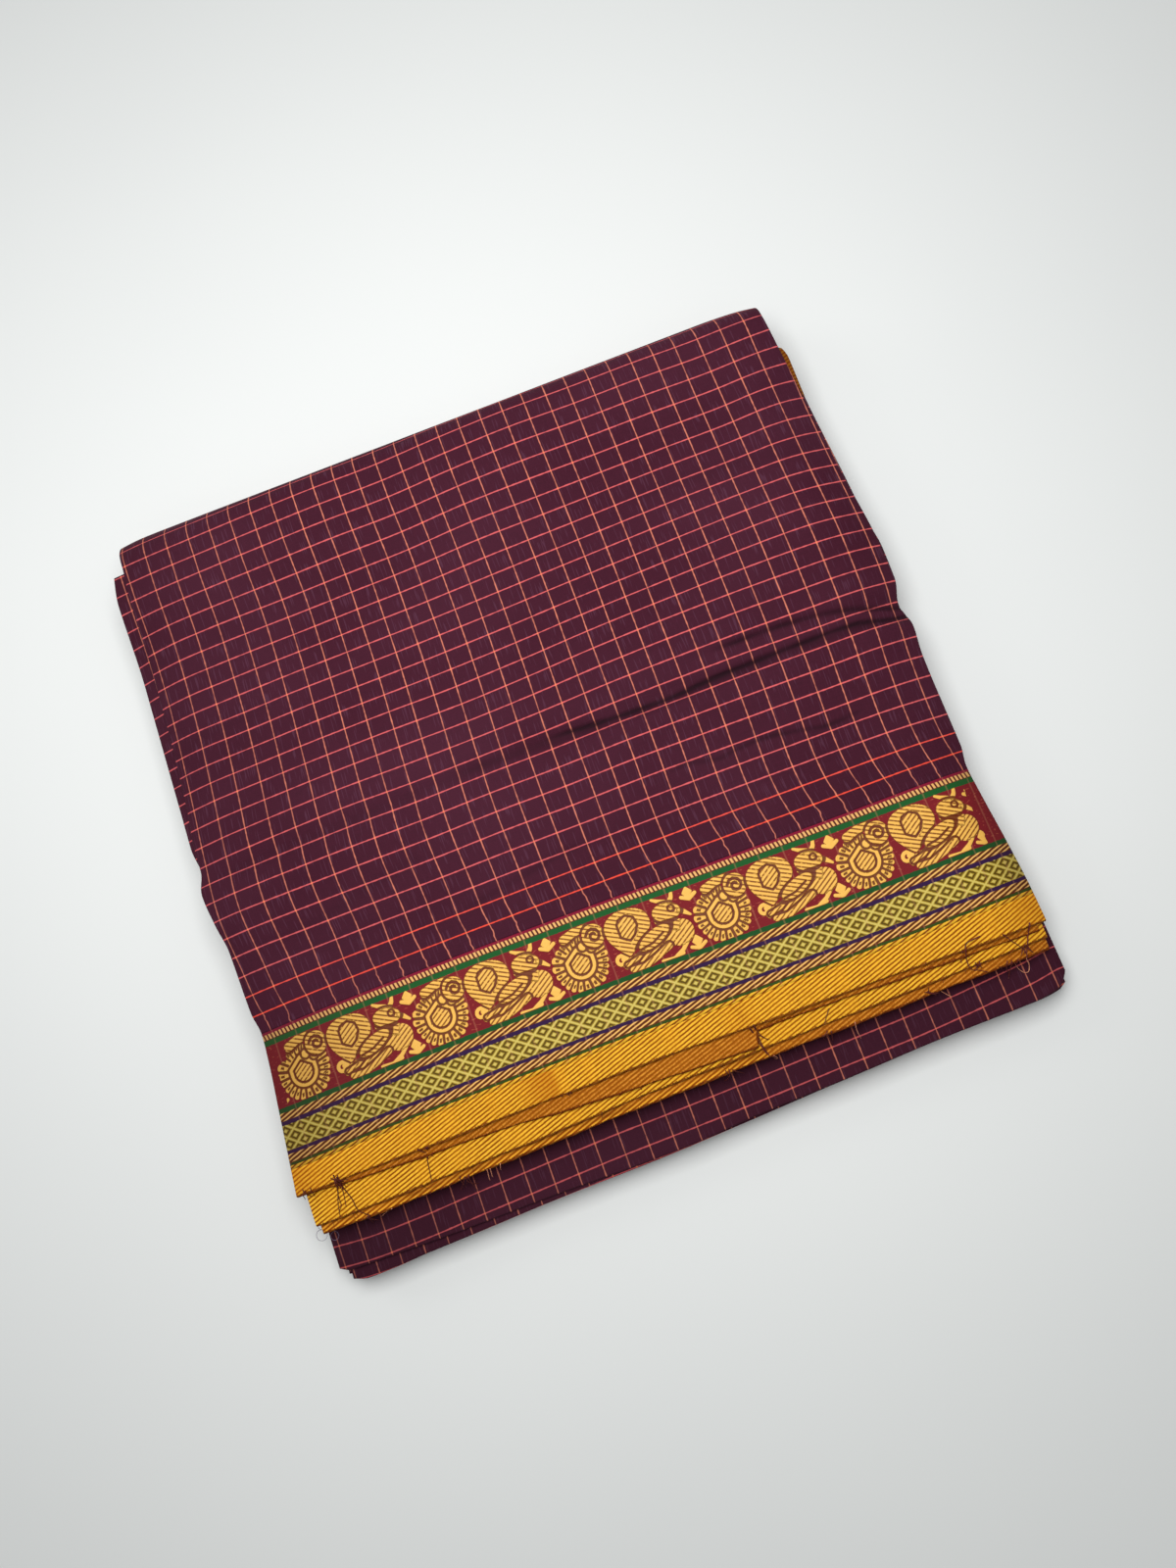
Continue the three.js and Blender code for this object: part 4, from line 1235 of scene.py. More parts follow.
def strand_tube(shape, points, radius):
    """Add one thin tube along points to a bmesh; it thins towards its end."""
    points = [Vector(p) * MM for p in points]
    rings = []
    for k, point in enumerate(points):
        ahead = points[min(k + 1, len(points) - 1)] - points[max(k - 1, 0)]
        side = ahead.cross(Vector((0, 0, 1)))
        side = side.normalized() if side.length > 1e-9 else Vector((1, 0, 0))
        up = side.cross(ahead).normalized()
        thin = radius * MM * (1 - 0.55 * k / len(points))
        ring = []
        for corner in range(STRAND_SIDES):
            angle = 2 * math.pi * corner / STRAND_SIDES
            ring.append(shape.verts.new(point + thin * (math.cos(angle) * side + math.sin(angle) * up)))
        rings.append(ring)
    for first, second in zip(rings, rings[1:]):
        edges_made = []
        for ring in (first, second):
            for corner in range(STRAND_SIDES):
                pair = (ring[corner], ring[(corner + 1) % STRAND_SIDES])
                edges_made.append(shape.edges.get(pair) or shape.edges.new(pair))
        bmesh.ops.bridge_loops(shape, edges=edges_made)
    shape.faces.new(rings[0][::-1])
    shape.faces.new(rings[-1])


def top_level(x, y):
    """Height of whatever lies uppermost at the front, for a thread to rest on."""
    top = float(outer_reach(np.float64(x), np.float64(y)) + STACK)
    for table, depth in RAW_EDGES:
        if y > read(table, "front", x):
            return top - depth
    return float(fold_top(x, FIRST_FOLD_TOP)) if y > read(FIRST_FOLD_FRONT, "front", x) else 1.0


BUNCHES = [
    # where a bunch of ends starts, how many, how long, the way they lie, and how wide they spread
    {"x": -134.8, "y": -121.5, "count": 9, "length": 6, "lie": -85, "spread": 70},
    {"x": -98.5, "y": -123.4, "count": 10, "length": 4, "lie": -60, "spread": 120},
    {"x": -40, "y": -123.0, "count": 8, "length": 4, "lie": -80, "spread": 80},
    {"x": 34.5, "y": -123.6, "count": 9, "length": 8.5, "lie": -88, "spread": 14},
    {"x": 118.6, "y": -125.2, "count": 8, "length": 4, "lie": -60, "spread": 130},
    {"x": 121, "y": -130.8, "count": 5, "length": 3, "lie": -90, "spread": 150},
    {"x": 141, "y": -131.2, "count": 5, "length": 4, "lie": -80, "spread": 90},
    {"x": -88, "y": -138.0, "count": 5, "length": 8, "lie": -120, "spread": 50},
    {"x": 20, "y": -135.9, "count": 3, "length": 6, "lie": -60, "spread": 40},
    {"x": 60, "y": -135.5, "count": 3, "length": 5, "lie": -110, "spread": 50},
    {"x": 100, "y": -134.8, "count": 4, "length": 5, "lie": -60, "spread": 60},
    {"x": 134, "y": -134.6, "count": 4, "length": 7, "lie": -120, "spread": 60},
    {"x": -128, "y": -139.2, "count": 5, "length": 5, "lie": -110, "spread": 60},
    {"x": -148, "y": -121.8, "count": 4, "length": 4, "lie": -100, "spread": 60},
]
EDGE_ENDS = 70
STRAND_LIFT = 0.35
chance = np.random.default_rng(9)


def settle(points, fall):
    """Let a thread drop no more than `fall` from each point to the next."""
    for k in range(1, len(points)):
        x, y, z = points[k]
        points[k] = (x, y, max(z, points[k - 1][2] - fall))
    return points


def strand_piece(name, shape):
    """A piece of all the tubes in a bmesh."""
    bmesh.ops.recalc_face_normals(shape, faces=shape.faces)
    return place_object(name, finished_mesh(name, shape))


def lay_strand(shape, x, y, length, lie, bend, radius):
    """One thread that starts at a raw edge and lies on what is under it."""
    heading = math.radians(lie)
    points = []
    steps = 8
    for k in range(steps):
        share = k / (steps - 1)
        rest = top_level(x, y) + radius + STRAND_LIFT * math.sin(math.pi * share) + 0.05
        points.append((x, y, rest))
        heading += math.radians(bend) / steps + chance.normal(0, 0.10)
        x += length / (steps - 1) * math.cos(heading)
        y += length / (steps - 1) * math.sin(heading)
    strand_tube(shape, settle(points, 1.0), radius)


fray = bmesh.new()
for bunch in BUNCHES:
    for _ in range(bunch["count"]):
        lie = bunch["lie"] + chance.uniform(-0.5, 0.5) * bunch["spread"]
        length = bunch["length"] * chance.uniform(0.45, 1.0)
        start_x = bunch["x"] + chance.normal(0, 1.1)
        start_y = bunch["y"] + chance.uniform(0, 1.5)
        lay_strand(fray, start_x, start_y, length, lie, chance.normal(0, 60), 0.25)
for k in range(EDGE_ENDS):
    table = RAW_EDGES[k % 3][0]
    start_x = chance.uniform(-146, 148)
    edge = float(read(table, "front", start_x))
    length, lie = chance.uniform(1.5, 3.4), -90 + chance.normal(0, 35)
    lay_strand(fray, start_x, edge + 0.8, length, lie, chance.normal(0, 60), 0.09)
print("short ends:", sum(bunch["count"] for bunch in BUNCHES) + EDGE_ENDS)


# %% [markdown]
# The longer threads follow a way that is given corner by corner.

# %% Long threads
def lay_thread(shape, way, radius):
    """A long thread along a given way; its corners are cut twice to make it smooth."""
    spots = np.array(way, float)
    for _ in range(2):
        near, far = spots[:-1] * 0.75 + spots[1:] * 0.25, spots[:-1] * 0.25 + spots[1:] * 0.75
        spots = np.concatenate((spots[:1], np.stack((near, far), axis=1).reshape(-1, 2), spots[-1:]))
    points = [(x, y, top_level(x, y) + radius + 0.15) for x, y in spots]
    strand_tube(shape, settle(points, 0.7), radius)


LONG_THREADS = [
    # the way that a long loose thread takes, and its radius
    ([(-135.2, -119.6), (-134.8, -122.6), (-133.6, -126.6), (-131.9, -130.6), (-131.6, -134.4),
      (-130.2, -136.8), (-128.2, -138.4)], 0.24),
    ([(-135.4, -122.0), (-136.2, -126.0), (-137.8, -129.6), (-138.6, -135.2)], 0.2),
    ([(-136.0, -124.0), (-137.0, -128.0), (-136.6, -131.5), (-138.4, -133.2)], 0.18),
    ([(-134.4, -124.0), (-134.6, -128.0), (-135.2, -132.6)], 0.18),
    ([(-101.2, -121.6), (-99.6, -123.6), (-97.0, -126.4)], 0.24),
    ([(-97.4, -122.4), (-99.0, -124.8), (-99.8, -127.2), (-100.0, -129.6), (-100.7, -134.8)], 0.24),
    ([(125.8, -121.2), (123.0, -121.4), (120.4, -121.6), (119.1, -122.8), (118.6, -126.0),
      (118.1, -129.6), (118.8, -131.8), (121.2, -132.6), (124.2, -134.6)], 0.26),
    ([(133.9, -123.4), (136.0, -126.2), (138.0, -128.4), (139.6, -131.0)], 0.2),
    ([(145.6, -123.0), (144.2, -126.0), (142.4, -129.8), (140.8, -133.0), (139.6, -135.6)], 0.28),
    ([(33.2, -122.8), (34.0, -126.0), (34.7, -130.0), (35.8, -134.4)], 0.34),
    ([(34.2, -123.4), (35.0, -127.0), (35.3, -131.0), (36.6, -135.8)], 0.28),
    ([(20.8, -123.2), (18.4, -125.2), (15.6, -126.0), (12.4, -126.4)], 0.24),
    ([(-33.6, -124.4), (-34.8, -127.4)], 0.2),
    ([(-13.8, -127.0), (-13.4, -130.4)], 0.2),
    ([(63.8, -126.6), (61.4, -129.4), (60.0, -131.4)], 0.18),
]
PALE_THREADS = [
    ([(139.8, -135.0), (140.9, -137.6), (140.2, -140.2), (138.2, -140.4), (136.4, -137.8),
      (136.2, -135.4)], 0.2),
    ([(106.4, -135.6), (109.2, -139.0)], 0.24),
    ([(71.0, -134.6), (70.6, -138.0), (71.4, -141.6)], 0.2),
    ([(37.8, -135.6), (39.2, -137.2), (38.4, -137.8), (37.4, -136.4)], 0.2),
    ([(24.0, -125.2), (24.4, -129.4)], 0.2),
    ([(25.6, -125.2), (26.0, -129.4)], 0.18),
    ([(-79.4, -138.0), (-80.6, -142.6)], 0.24),
    ([(-78.2, -138.0), (-79.2, -141.8)], 0.22),
    ([(-73.8, -137.6), (-75.2, -140.2)], 0.22),
    ([(-118.8, -139.2), (-122.0, -139.8), (-126.0, -141.2)], 0.24),
]
for way, radius in LONG_THREADS:
    lay_thread(fray, way, radius * 1.25)
frayed_ends = strand_piece("frayed_ends", fray)

pale_shape = bmesh.new()
for way, radius in PALE_THREADS:
    lay_thread(pale_shape, way, radius)
pale_threads = strand_piece("pale_threads", pale_shape)
print("long threads:", len(LONG_THREADS), "pale threads:", len(PALE_THREADS))

# %% [markdown]
# At the left corner three thin ends curl into loops.

# %% Loops
LOOPS = [
    # thin warp ends that curl at the left corner: start, middle of the loop, and its size
    {"from": (-146.2, -137.0), "middle": (-149.6, -139.8), "size": 2.3, "start": 70, "turns": 1.1},
    {"from": (-143.8, -138.6), "middle": (-145.0, -141.6), "size": 1.9, "start": 60, "turns": -1.0},
    {"from": (-146.8, -136.0), "middle": (-149.0, -136.6), "size": 1.3, "start": 10, "turns": 0.9},
]
loop_shape = bmesh.new()
for row in LOOPS:
    (start_x, start_y), (middle_x, middle_y) = row["from"], row["middle"]
    ring = coil(middle_x, middle_y, row["start"], row["turns"], row["size"], row["size"] * 0.8, 16)
    path = [(start_x, start_y, 17.6)]
    path += [(x, y, 16.9 - 1.3 * k / len(ring)) for k, (x, y) in enumerate(ring)]
    strand_tube(loop_shape, path, 0.12)
corner_loops = strand_piece("corner_loops", loop_shape)
print("loops:", len(LOOPS))

# %% [markdown]
# ## Finishes
# All cloth coordinates are in millimetres, in the UV map named threads. A shader group is a small
# tool with named inputs and outputs that several materials can use. The first one gives the uneven
# grain of a hand-loom cotton: streaks along the warp and along the weft, much finer than the checks.


# %% Making a shader group
def new_group(name, inputs, outputs):
    """A shader group with its sockets, and its tree, inputs and outputs."""
    tree = bpy.data.node_groups.new(name, "ShaderNodeTree")
    for key, kind in inputs.items():
        tree.interface.new_socket(name=key, in_out="INPUT", socket_type=kind)
    for key, kind in outputs.items():
        tree.interface.new_socket(name=key, in_out="OUTPUT", socket_type=kind)
    taken = tree.nodes.new("NodeGroupInput").outputs
    given = tree.nodes.new("NodeGroupOutput").inputs
    return tree, taken, given


def use_group(tree, name, inputs):
    """Place a group in a tree, with its inputs by name."""
    node = tree.nodes.new("ShaderNodeGroup")
    node.node_tree = bpy.data.node_groups[name]
    for key, given in inputs.items():
        feed(tree, node.inputs[key], given)
    return node.outputs


def split_threads(tree, threads):
    """The two cloth coordinates by themselves: along the border, and across it."""
    parts = add_node(tree, "ShaderNodeSeparateXYZ", {0: threads}).outputs
    return parts[0], parts[1]


def thread_noise(tree, threads, along_scale, over_scale, detail=1.0, seed=0.0):
    """Noise stretched along the border or across it; the scales are in cells per millimetre."""
    stretch = add_node(tree, "ShaderNodeMapping", {"Vector": threads})
    stretch.inputs["Scale"].default_value = (along_scale, over_scale, 1)
    stretch.inputs["Location"].default_value = (seed, -seed, seed)
    inputs = {"Vector": stretch.outputs[0], "Scale": 1.0, "Detail": detail}
    return add_node(tree, "ShaderNodeTexNoise", inputs).outputs[0]


SOCKET_NUMBER, SOCKET_VECTOR, SOCKET_COLOUR = "NodeSocketFloat", "NodeSocketVector", "NodeSocketColor"

grain, taken, given = new_group(
    "thread_grain",
    {"Threads": SOCKET_VECTOR},
    {"Shade": SOCKET_NUMBER, "Height": SOCKET_NUMBER, "Broad": SOCKET_NUMBER},
)
weft_streaks = thread_noise(grain, taken["Threads"], 1.9, 0.22, 2.0, 3.1)
warp_streaks = thread_noise(grain, taken["Threads"], 0.20, 1.7, 2.0, 7.7)
fine = thread_noise(grain, taken["Threads"], 1.6, 1.6, 1.0, 1.3)
streaks = calc(grain, "ADD", weft_streaks, warp_streaks)
grain.links.new(calc(grain, "MULTIPLY", calc(grain, "ADD", streaks, fine), 0.3333), given["Shade"])
height = calc(grain, "MULTIPLY_ADD", streaks, 0.35, calc(grain, "MULTIPLY", fine, 0.3))
grain.links.new(height, given["Height"])
grain.links.new(thread_noise(grain, taken["Threads"], 0.012, 0.016, 2.0, 5.0), given["Broad"])

# %% [markdown]
# The coral ones lie along the border and are bright and even. The tan ones cross them, are thinner
# and come and go, and just above the border they were pulled aside on the loom. Where two lines
# cross, both colours add up. A few thick uneven threads, called slubs, show as faint dashes beside
# the lines.

# %% Lines at an even pitch
PLUM_DARK, PLUM = rgb(50, 12, 27), rgb(75, 27, 45)
CORAL, RED_CORAL, TAN = rgb(236, 104, 106), rgb(246, 80, 60), rgb(222, 130, 104)
CROSSING, LAVENDER = rgb(255, 134, 84), rgb(112, 74, 98)


def from_line(tree, place, pitch, first):
    """Distance from the nearest of some evenly spaced lines, as a share of their pitch."""
    turn = calc(tree, "DIVIDE", calc(tree, "SUBTRACT", place, first), pitch)
    share = calc(tree, "SUBTRACT", calc(tree, "FRACT", calc(tree, "ADD", turn, 0.5)), 0.5)
    return calc(tree, "ABSOLUTE", share)


def line_mask(tree, place, pitch, first, half_width, soft, waver):
    """1 on lines at an even pitch, and 0 between them."""
    distance = calc(tree, "MULTIPLY", from_line(tree, place, pitch, first), pitch)
    distance = calc(tree, "ADD", distance, calc(tree, "MULTIPLY_ADD", waver, 0.36, -0.18))
    return soft_fall(tree, distance, half_width - soft, half_width + soft)


# %% [markdown]
# The group lays the tan lines over the ground, then the coral lines, and then the crossings.

# %% Checks
checks, taken, given = new_group(
    "cotton_checks", {"Threads": SOCKET_VECTOR}, {"Colour": SOCKET_COLOUR, "Height": SOCKET_NUMBER}
)
along, over = split_threads(checks, taken["Threads"])
grained = use_group(checks, "thread_grain", {"Threads": taken["Threads"]})
waver = thread_noise(checks, taken["Threads"], 0.5, 0.5, 1.0, 2.2)
pull = soft_fall(checks, over, BORDER_SEAM + 1.5, BORDER_SEAM + 15.0)
uneven = thread_noise(checks, taken["Threads"], 0.085, 0.30, 1.0, 9.4)
pulled = calc(checks, "MULTIPLY", pull, calc(checks, "MULTIPLY_ADD", uneven, 1.8, 0.3))
weft_place = calc(checks, "SUBTRACT", along, pulled)
wefts = line_mask(checks, weft_place, WEFT_PITCH, FIRST_WEFT, 0.22, 0.13, waver)
come_and_go = thread_noise(checks, taken["Threads"], 0.10, 0.16, 2.0, 4.4)
weft_strength = soft_step(checks, come_and_go, 0.20, 0.62)
weft_strength = calc(checks, "MULTIPLY_ADD", weft_strength, 0.40, 0.50)
# 0 at the left end and 1 from x = -40: towards the left the ground is painted darker as shade, and the lines
# are weaker
clear_of_left_shade = soft_step(checks, along, -170.0, -40.0)
weft_strength = calc(checks, "MULTIPLY", weft_strength, calc(checks, "MULTIPLY_ADD", clear_of_left_shade, 0.35, 0.65))
warps = line_mask(checks, over, WARP_PITCH, FIRST_WARP, 0.24, 0.13, waver)
near_border = soft_fall(checks, over, -46.0, -36.0)
slub_noise = thread_noise(checks, taken["Threads"], 1.9, 0.11, 0.0, 6.1)
slubs = calc(checks, "MULTIPLY", soft_step(checks, slub_noise, 0.64, 0.74), 0.20)
ground = blend_colours(checks, grained["Shade"], PLUM_DARK, PLUM)
# painted shade: the ground darker towards the left end
ground = blend_colours(checks, calc(checks, "MULTIPLY_ADD", clear_of_left_shade, -0.30, 0.30), ground, PLUM_DARK)
ground = blend_colours(checks, slubs, ground, LAVENDER)
coral = blend_colours(checks, near_border, CORAL, RED_CORAL)
colour = blend_colours(checks, calc(checks, "MULTIPLY", wefts, weft_strength), ground, TAN)
warp_strength = calc(checks, "MULTIPLY_ADD", clear_of_left_shade, 0.16, 0.67)
warp_strength = calc(checks, "MULTIPLY_ADD", near_border, 0.15, warp_strength)
colour = blend_colours(checks, calc(checks, "MULTIPLY", warps, warp_strength), colour, coral)
both = calc(checks, "MULTIPLY", calc(checks, "MULTIPLY", wefts, warps), 0.95)
colour = blend_colours(checks, both, colour, CROSSING)
lines = calc(checks, "MAXIMUM", wefts, warps)
checks.links.new(colour, given["Colour"])
checks.links.new(calc(checks, "MULTIPLY_ADD", lines, 0.35, grained["Height"]), given["Height"])
print("check nodes:", len(checks.nodes))

# %% [markdown]
# Twill has its ribs on the slant. The same group makes the golden selvedge, its brown reverse and
# the striped lines of the border, each with its own slant and its own share of rib.

# %% Twill
twill, taken, given = new_group(
    "twill_ribs",
    {"Threads": SOCKET_VECTOR, "Slant": SOCKET_NUMBER, "Pitch": SOCKET_NUMBER, "Rib": SOCKET_NUMBER},
    {"Mask": SOCKET_NUMBER},
)
along, over = split_threads(twill, taken["Threads"])
slanted = calc(twill, "SUBTRACT", over, calc(twill, "MULTIPLY", along, taken["Slant"]))
waver = thread_noise(twill, taken["Threads"], 0.35, 0.5, 1.0, 8.0)
slanted = calc(twill, "ADD", slanted, calc(twill, "MULTIPLY", waver, 0.35))
ridge = zigzag(twill, calc(twill, "DIVIDE", slanted, taken["Pitch"]))
high = calc(twill, "ADD", taken["Rib"], 0.22)
low = calc(twill, "SUBTRACT", taken["Rib"], 0.22)
twill.links.new(soft_step(twill, ridge, low, high), given["Mask"])
print("twill nodes:", len(twill.nodes))

RIB_PITCH = 1.5
SELVEDGE_SLANT, SELVEDGE_RIB = 0.33, 0.40
SELVEDGE_DEEP, SELVEDGE_BRIGHT = rgb(140, 60, 0), rgb(255, 194, 52)


def use_ribs(tree, threads, slant, rib):
    """1 on the ribs of a twill with this slant and share of rib, and 0 between them."""
    values = {"Threads": threads, "Slant": slant, "Pitch": RIB_PITCH, "Rib": rib}
    return use_group(tree, "twill_ribs", values)["Mask"]



# %% [markdown]
# ## The cotton body
# Cotton has a dull surface with a little sheen where light grazes it. The material reads its colour
# and height from the groups. Broad patches are a little paler; creases and centre folds get painted shade.


# %% Cotton material
def threads_of(tree):
    """The piece's own cloth coordinates, in millimetres."""
    return add_node(tree, "ShaderNodeUVMap", uv_map="threads").outputs[0]


def mark(tree, key):
    """One of the marks that a cloth carries at its points; 0 where it has none."""
    return add_node(tree, "ShaderNodeAttribute", attribute_name=key).outputs["Fac"]


def dress(tree, surface, colour, height, strength, roughness, shine=0.5):
    """Link the colour, the bump and the varying roughness to the surface, and set its shine."""
    bump = add_node(tree, "ShaderNodeBump", {"Strength": strength, "Distance": 0.0004, "Height": height})
    tree.links.new(colour, surface.inputs["Base Color"])
    tree.links.new(bump.outputs[0], surface.inputs["Normal"])
    tree.links.new(roughness, surface.inputs["Roughness"])
    surface.inputs["Specular IOR Level"].default_value = shine


def cotton_material(name, sheen):
    material, tree, surface = new_material(name)
    threads = threads_of(tree)
    checked = use_group(tree, "cotton_checks", {"Threads": threads})
    grained = use_group(tree, "thread_grain", {"Threads": threads})
    broad = soft_step(tree, grained["Broad"], 0.3, 0.75)
    colour = blend_colours(tree, calc(tree, "MULTIPLY", broad, 0.10), checked["Colour"], rgb(112, 62, 84))
    # painted shade: darker along the body's creases and over the centre folds
    colour = blend_colours(tree, mark(tree, "pressed"), colour, rgb(30, 8, 18))
    roughness = calc(tree, "MULTIPLY_ADD", grained["Shade"], 0.20, 0.68)
    dress(tree, surface, colour, checked["Height"], 0.55, roughness, 0.10)
    surface.inputs["Sheen Weight"].default_value = sheen
    surface.inputs["Sheen Roughness"].default_value = 0.5
    surface.inputs["Sheen Tint"].default_value = rgb(200, 150, 175)
    return material


cotton = cotton_material("checked_cotton_cloth", 0.03)
print("cotton material nodes:", len(cotton.node_tree.nodes))

# %% [markdown]
# ## The border's bands
# Across the border, bands of plain colour lie between two thin lines of gold: crimson, green, the
# maroon ground of the figures, green, slanted stripes, purple, olive diamonds, and the same back
# again. A colour ramp with hard steps is a simple list of such bands.

# %% Bands
BAND_SPAN = 60.0
BANDS = [
    {"from": 0.0, "colour": rgb(142, 20, 52)},
    {"from": 0.95, "colour": rgb(92, 26, 24)},
    {"from": 3.2, "colour": rgb(22, 94, 38)},
    {"from": 5.35, "colour": rgb(134, 26, 34)},
    {"from": 29.55, "colour": rgb(24, 84, 34)},
    {"from": 31.55, "colour": rgb(100, 38, 6)},
    {"from": 34.65, "colour": rgb(52, 20, 70)},
    {"from": 36.15, "colour": rgb(168, 136, 30)},
    {"from": 45.65, "colour": rgb(52, 20, 68)},
    {"from": 47.0, "colour": rgb(100, 38, 6)},
    {"from": 50.2, "colour": rgb(54, 76, 14)},
    {"from": 51.4, "colour": rgb(222, 132, 14)},
]
GOLD, GOLD_DEEP, GOLD_LIGHT = rgb(236, 172, 66), rgb(116, 44, 0), rgb(254, 200, 100)
TICK_PITCH = 1.65
DIAMOND_WIDE, DIAMOND_HIGH = 7.2, 5.2
DIAMOND_MIDDLE = 41.0
DIAMOND_FIRST = -58.95
DIAMOND_SPAN = (36.2, 45.55)
STRIPE_SPANS = [(31.6, 34.6), (47.05, 50.1)]

bands, taken, given = new_group(
    "border_bands",
    {"Threads": SOCKET_VECTOR, "Gold": SOCKET_NUMBER, "Dark": SOCKET_NUMBER, "Hatch": SOCKET_NUMBER},
    {"Colour": SOCKET_COLOUR, "Height": SOCKET_NUMBER, "Silk": SOCKET_NUMBER},
)
along, over = split_threads(bands, taken["Threads"])
down = calc(bands, "SUBTRACT", BORDER_SEAM, over)
grained = use_group(bands, "thread_grain", {"Threads": taken["Threads"]})
ragged = thread_noise(bands, taken["Threads"], 1.1, 0.3, 1.0, 12.0)
down_ragged = calc(bands, "ADD", down, calc(bands, "MULTIPLY_ADD", ragged, 0.5, -0.25))
ramp = add_node(bands, "ShaderNodeValToRGB", {0: calc(bands, "DIVIDE", down_ragged, BAND_SPAN)})
ramp.color_ramp.interpolation = "CONSTANT"
for k, row in enumerate(BANDS):
    stop = ramp.color_ramp.elements[k] if k < 2 else ramp.color_ramp.elements.new(row["from"] / BAND_SPAN)
    stop.position = row["from"] / BAND_SPAN
    stop.color = row["colour"]
shade = calc(bands, "MULTIPLY", grained["Shade"], 0.35)
shaded = blend_colours(bands, shade, ramp.outputs[0], rgb(20, 8, 10))
print("bands:", len(BANDS))

# %% [markdown]
# Small gold ticks run along the seam. Slanted stripes lie on either side of the diamonds, and the
# last band holds the first ribs of the golden selvedge.

# %% Ticks, stripes and first ribs
tick_turn = calc(bands, "DIVIDE", calc(bands, "MULTIPLY_ADD", down, -0.22, along), TICK_PITCH)
tick_share = soft_step(bands, zigzag(bands, tick_turn), 0.28, 0.55)
ticks = calc(bands, "MULTIPLY", tick_share, within(bands, down, 1.0, 3.05))
colour = blend_colours(bands, ticks, shaded, rgb(232, 176, 104))
stripe = use_ribs(bands, taken["Threads"], 0.325, 0.58)
stripe_bands = calc(bands, "ADD", *(within(bands, down, *span) for span in STRIPE_SPANS))
stripes = calc(bands, "MULTIPLY", stripe, stripe_bands)
colour = blend_colours(bands, stripes, colour, rgb(246, 190, 104))
first_ribs = use_ribs(bands, taken["Threads"], SELVEDGE_SLANT, SELVEDGE_RIB)
golden = blend_colours(bands, first_ribs, SELVEDGE_DEEP, SELVEDGE_BRIGHT)
colour = blend_colours(bands, soft_step(bands, down_ragged, 51.3, 51.5), colour, golden)

# %% [markdown]
# The diamonds are places with the same distance from the nearest line aside and upright, added up.
# So one number gives an outline, a smaller diamond within it, and the bars of the lattice between.

# %% Diamonds within diamonds
aside = from_line(bands, along, DIAMOND_WIDE, DIAMOND_FIRST)
upright = from_line(bands, down, DIAMOND_HIGH, DIAMOND_MIDDLE)
cell = calc(bands, "MULTIPLY", calc(bands, "ADD", aside, upright), 2.0)
ring = calc(bands, "MINIMUM", cell, calc(bands, "SUBTRACT", 2.0, cell))
ring = calc(bands, "ADD", ring, calc(bands, "MULTIPLY_ADD", ragged, 0.16, -0.08))
outline = within(bands, ring, 0.42, 0.66, 0.06)
middle = soft_fall(bands, ring, 0.18, 0.34)
lattice_light = calc(bands, "MAXIMUM", soft_step(bands, ring, 0.76, 0.92), middle)
in_diamonds = within(bands, down, *DIAMOND_SPAN)
figure = calc(bands, "MULTIPLY", outline, in_diamonds)
lattice = calc(bands, "MULTIPLY", lattice_light, calc(bands, "MULTIPLY", in_diamonds, 0.7))
colour = blend_colours(bands, lattice, colour, rgb(232, 212, 112))
colour = blend_colours(bands, calc(bands, "MULTIPLY", figure, 0.92), colour, rgb(78, 56, 0))

# %% [markdown]
# The marks of the border cloth say where its figures are. Their silk is hatched with darker lines
# that come and go, and a few pale specks show on the ground between the figures.

# %% Silk figures
on_gold = soft_step(bands, taken["Gold"], -0.10, 0.10)
on_dark = soft_step(bands, taken["Dark"], -0.26, -0.02)
dashes = soft_step(bands, thread_noise(bands, taken["Threads"], 0.9, 0.9, 0.0, 15.0), 0.30, 0.42)
hatch_line = soft_step(bands, zigzag(bands, taken["Hatch"]), 0.50, 0.80)
hatch_line = calc(bands, "MULTIPLY", hatch_line, calc(bands, "MULTIPLY_ADD", dashes, 0.5, 0.5))
silk = blend_colours(bands, grained["Shade"], GOLD, GOLD_LIGHT)
silk = blend_colours(bands, calc(bands, "MULTIPLY", hatch_line, 0.9), silk, GOLD_DEEP)
silk = blend_colours(bands, calc(bands, "MULTIPLY", on_dark, 0.94), silk, rgb(96, 24, 4))
speckle = soft_step(bands, thread_noise(bands, taken["Threads"], 0.55, 1.6, 0.0, 21.0), 0.70, 0.76)
speckle = calc(bands, "MULTIPLY", calc(bands, "MULTIPLY", speckle, 0.5), within(bands, down, 5.2, 29.0))
colour = blend_colours(bands, speckle, colour, rgb(186, 92, 66))
colour = blend_colours(bands, on_gold, colour, silk)

# %% [markdown]
# The body's weft lines go on faintly through the bands, and both ends lie in the shade of the side
# folds. Gold, ticks and stripes stand up a little, and dark lines are sunk.

# %% Weft lines, shade and height
weft_lines = line_mask(bands, along, WEFT_PITCH, FIRST_WEFT + 1.6, 0.30, 0.17, ragged)
weft_show = calc(bands, "MULTIPLY", weft_lines, calc(bands, "MULTIPLY_ADD", on_gold, -0.12, 0.16))
colour = blend_colours(bands, weft_show, colour, rgb(216, 150, 110))
left_end = soft_fall(bands, along, -158.0, -66.0)
right_end = soft_step(bands, along, 134.0, 156.0)
ends = calc(bands, "MULTIPLY", calc(bands, "ADD", left_end, right_end), 0.42)
colour = blend_colours(bands, ends, colour, rgb(40, 10, 12))
sunk = calc(bands, "MAXIMUM", on_dark, calc(bands, "MULTIPLY", hatch_line, 0.6))
raised = calc(bands, "MULTIPLY", on_gold, calc(bands, "SUBTRACT", 1.0, sunk))
raised = calc(bands, "ADD", raised, calc(bands, "MULTIPLY", calc(bands, "ADD", ticks, stripes), 0.7))
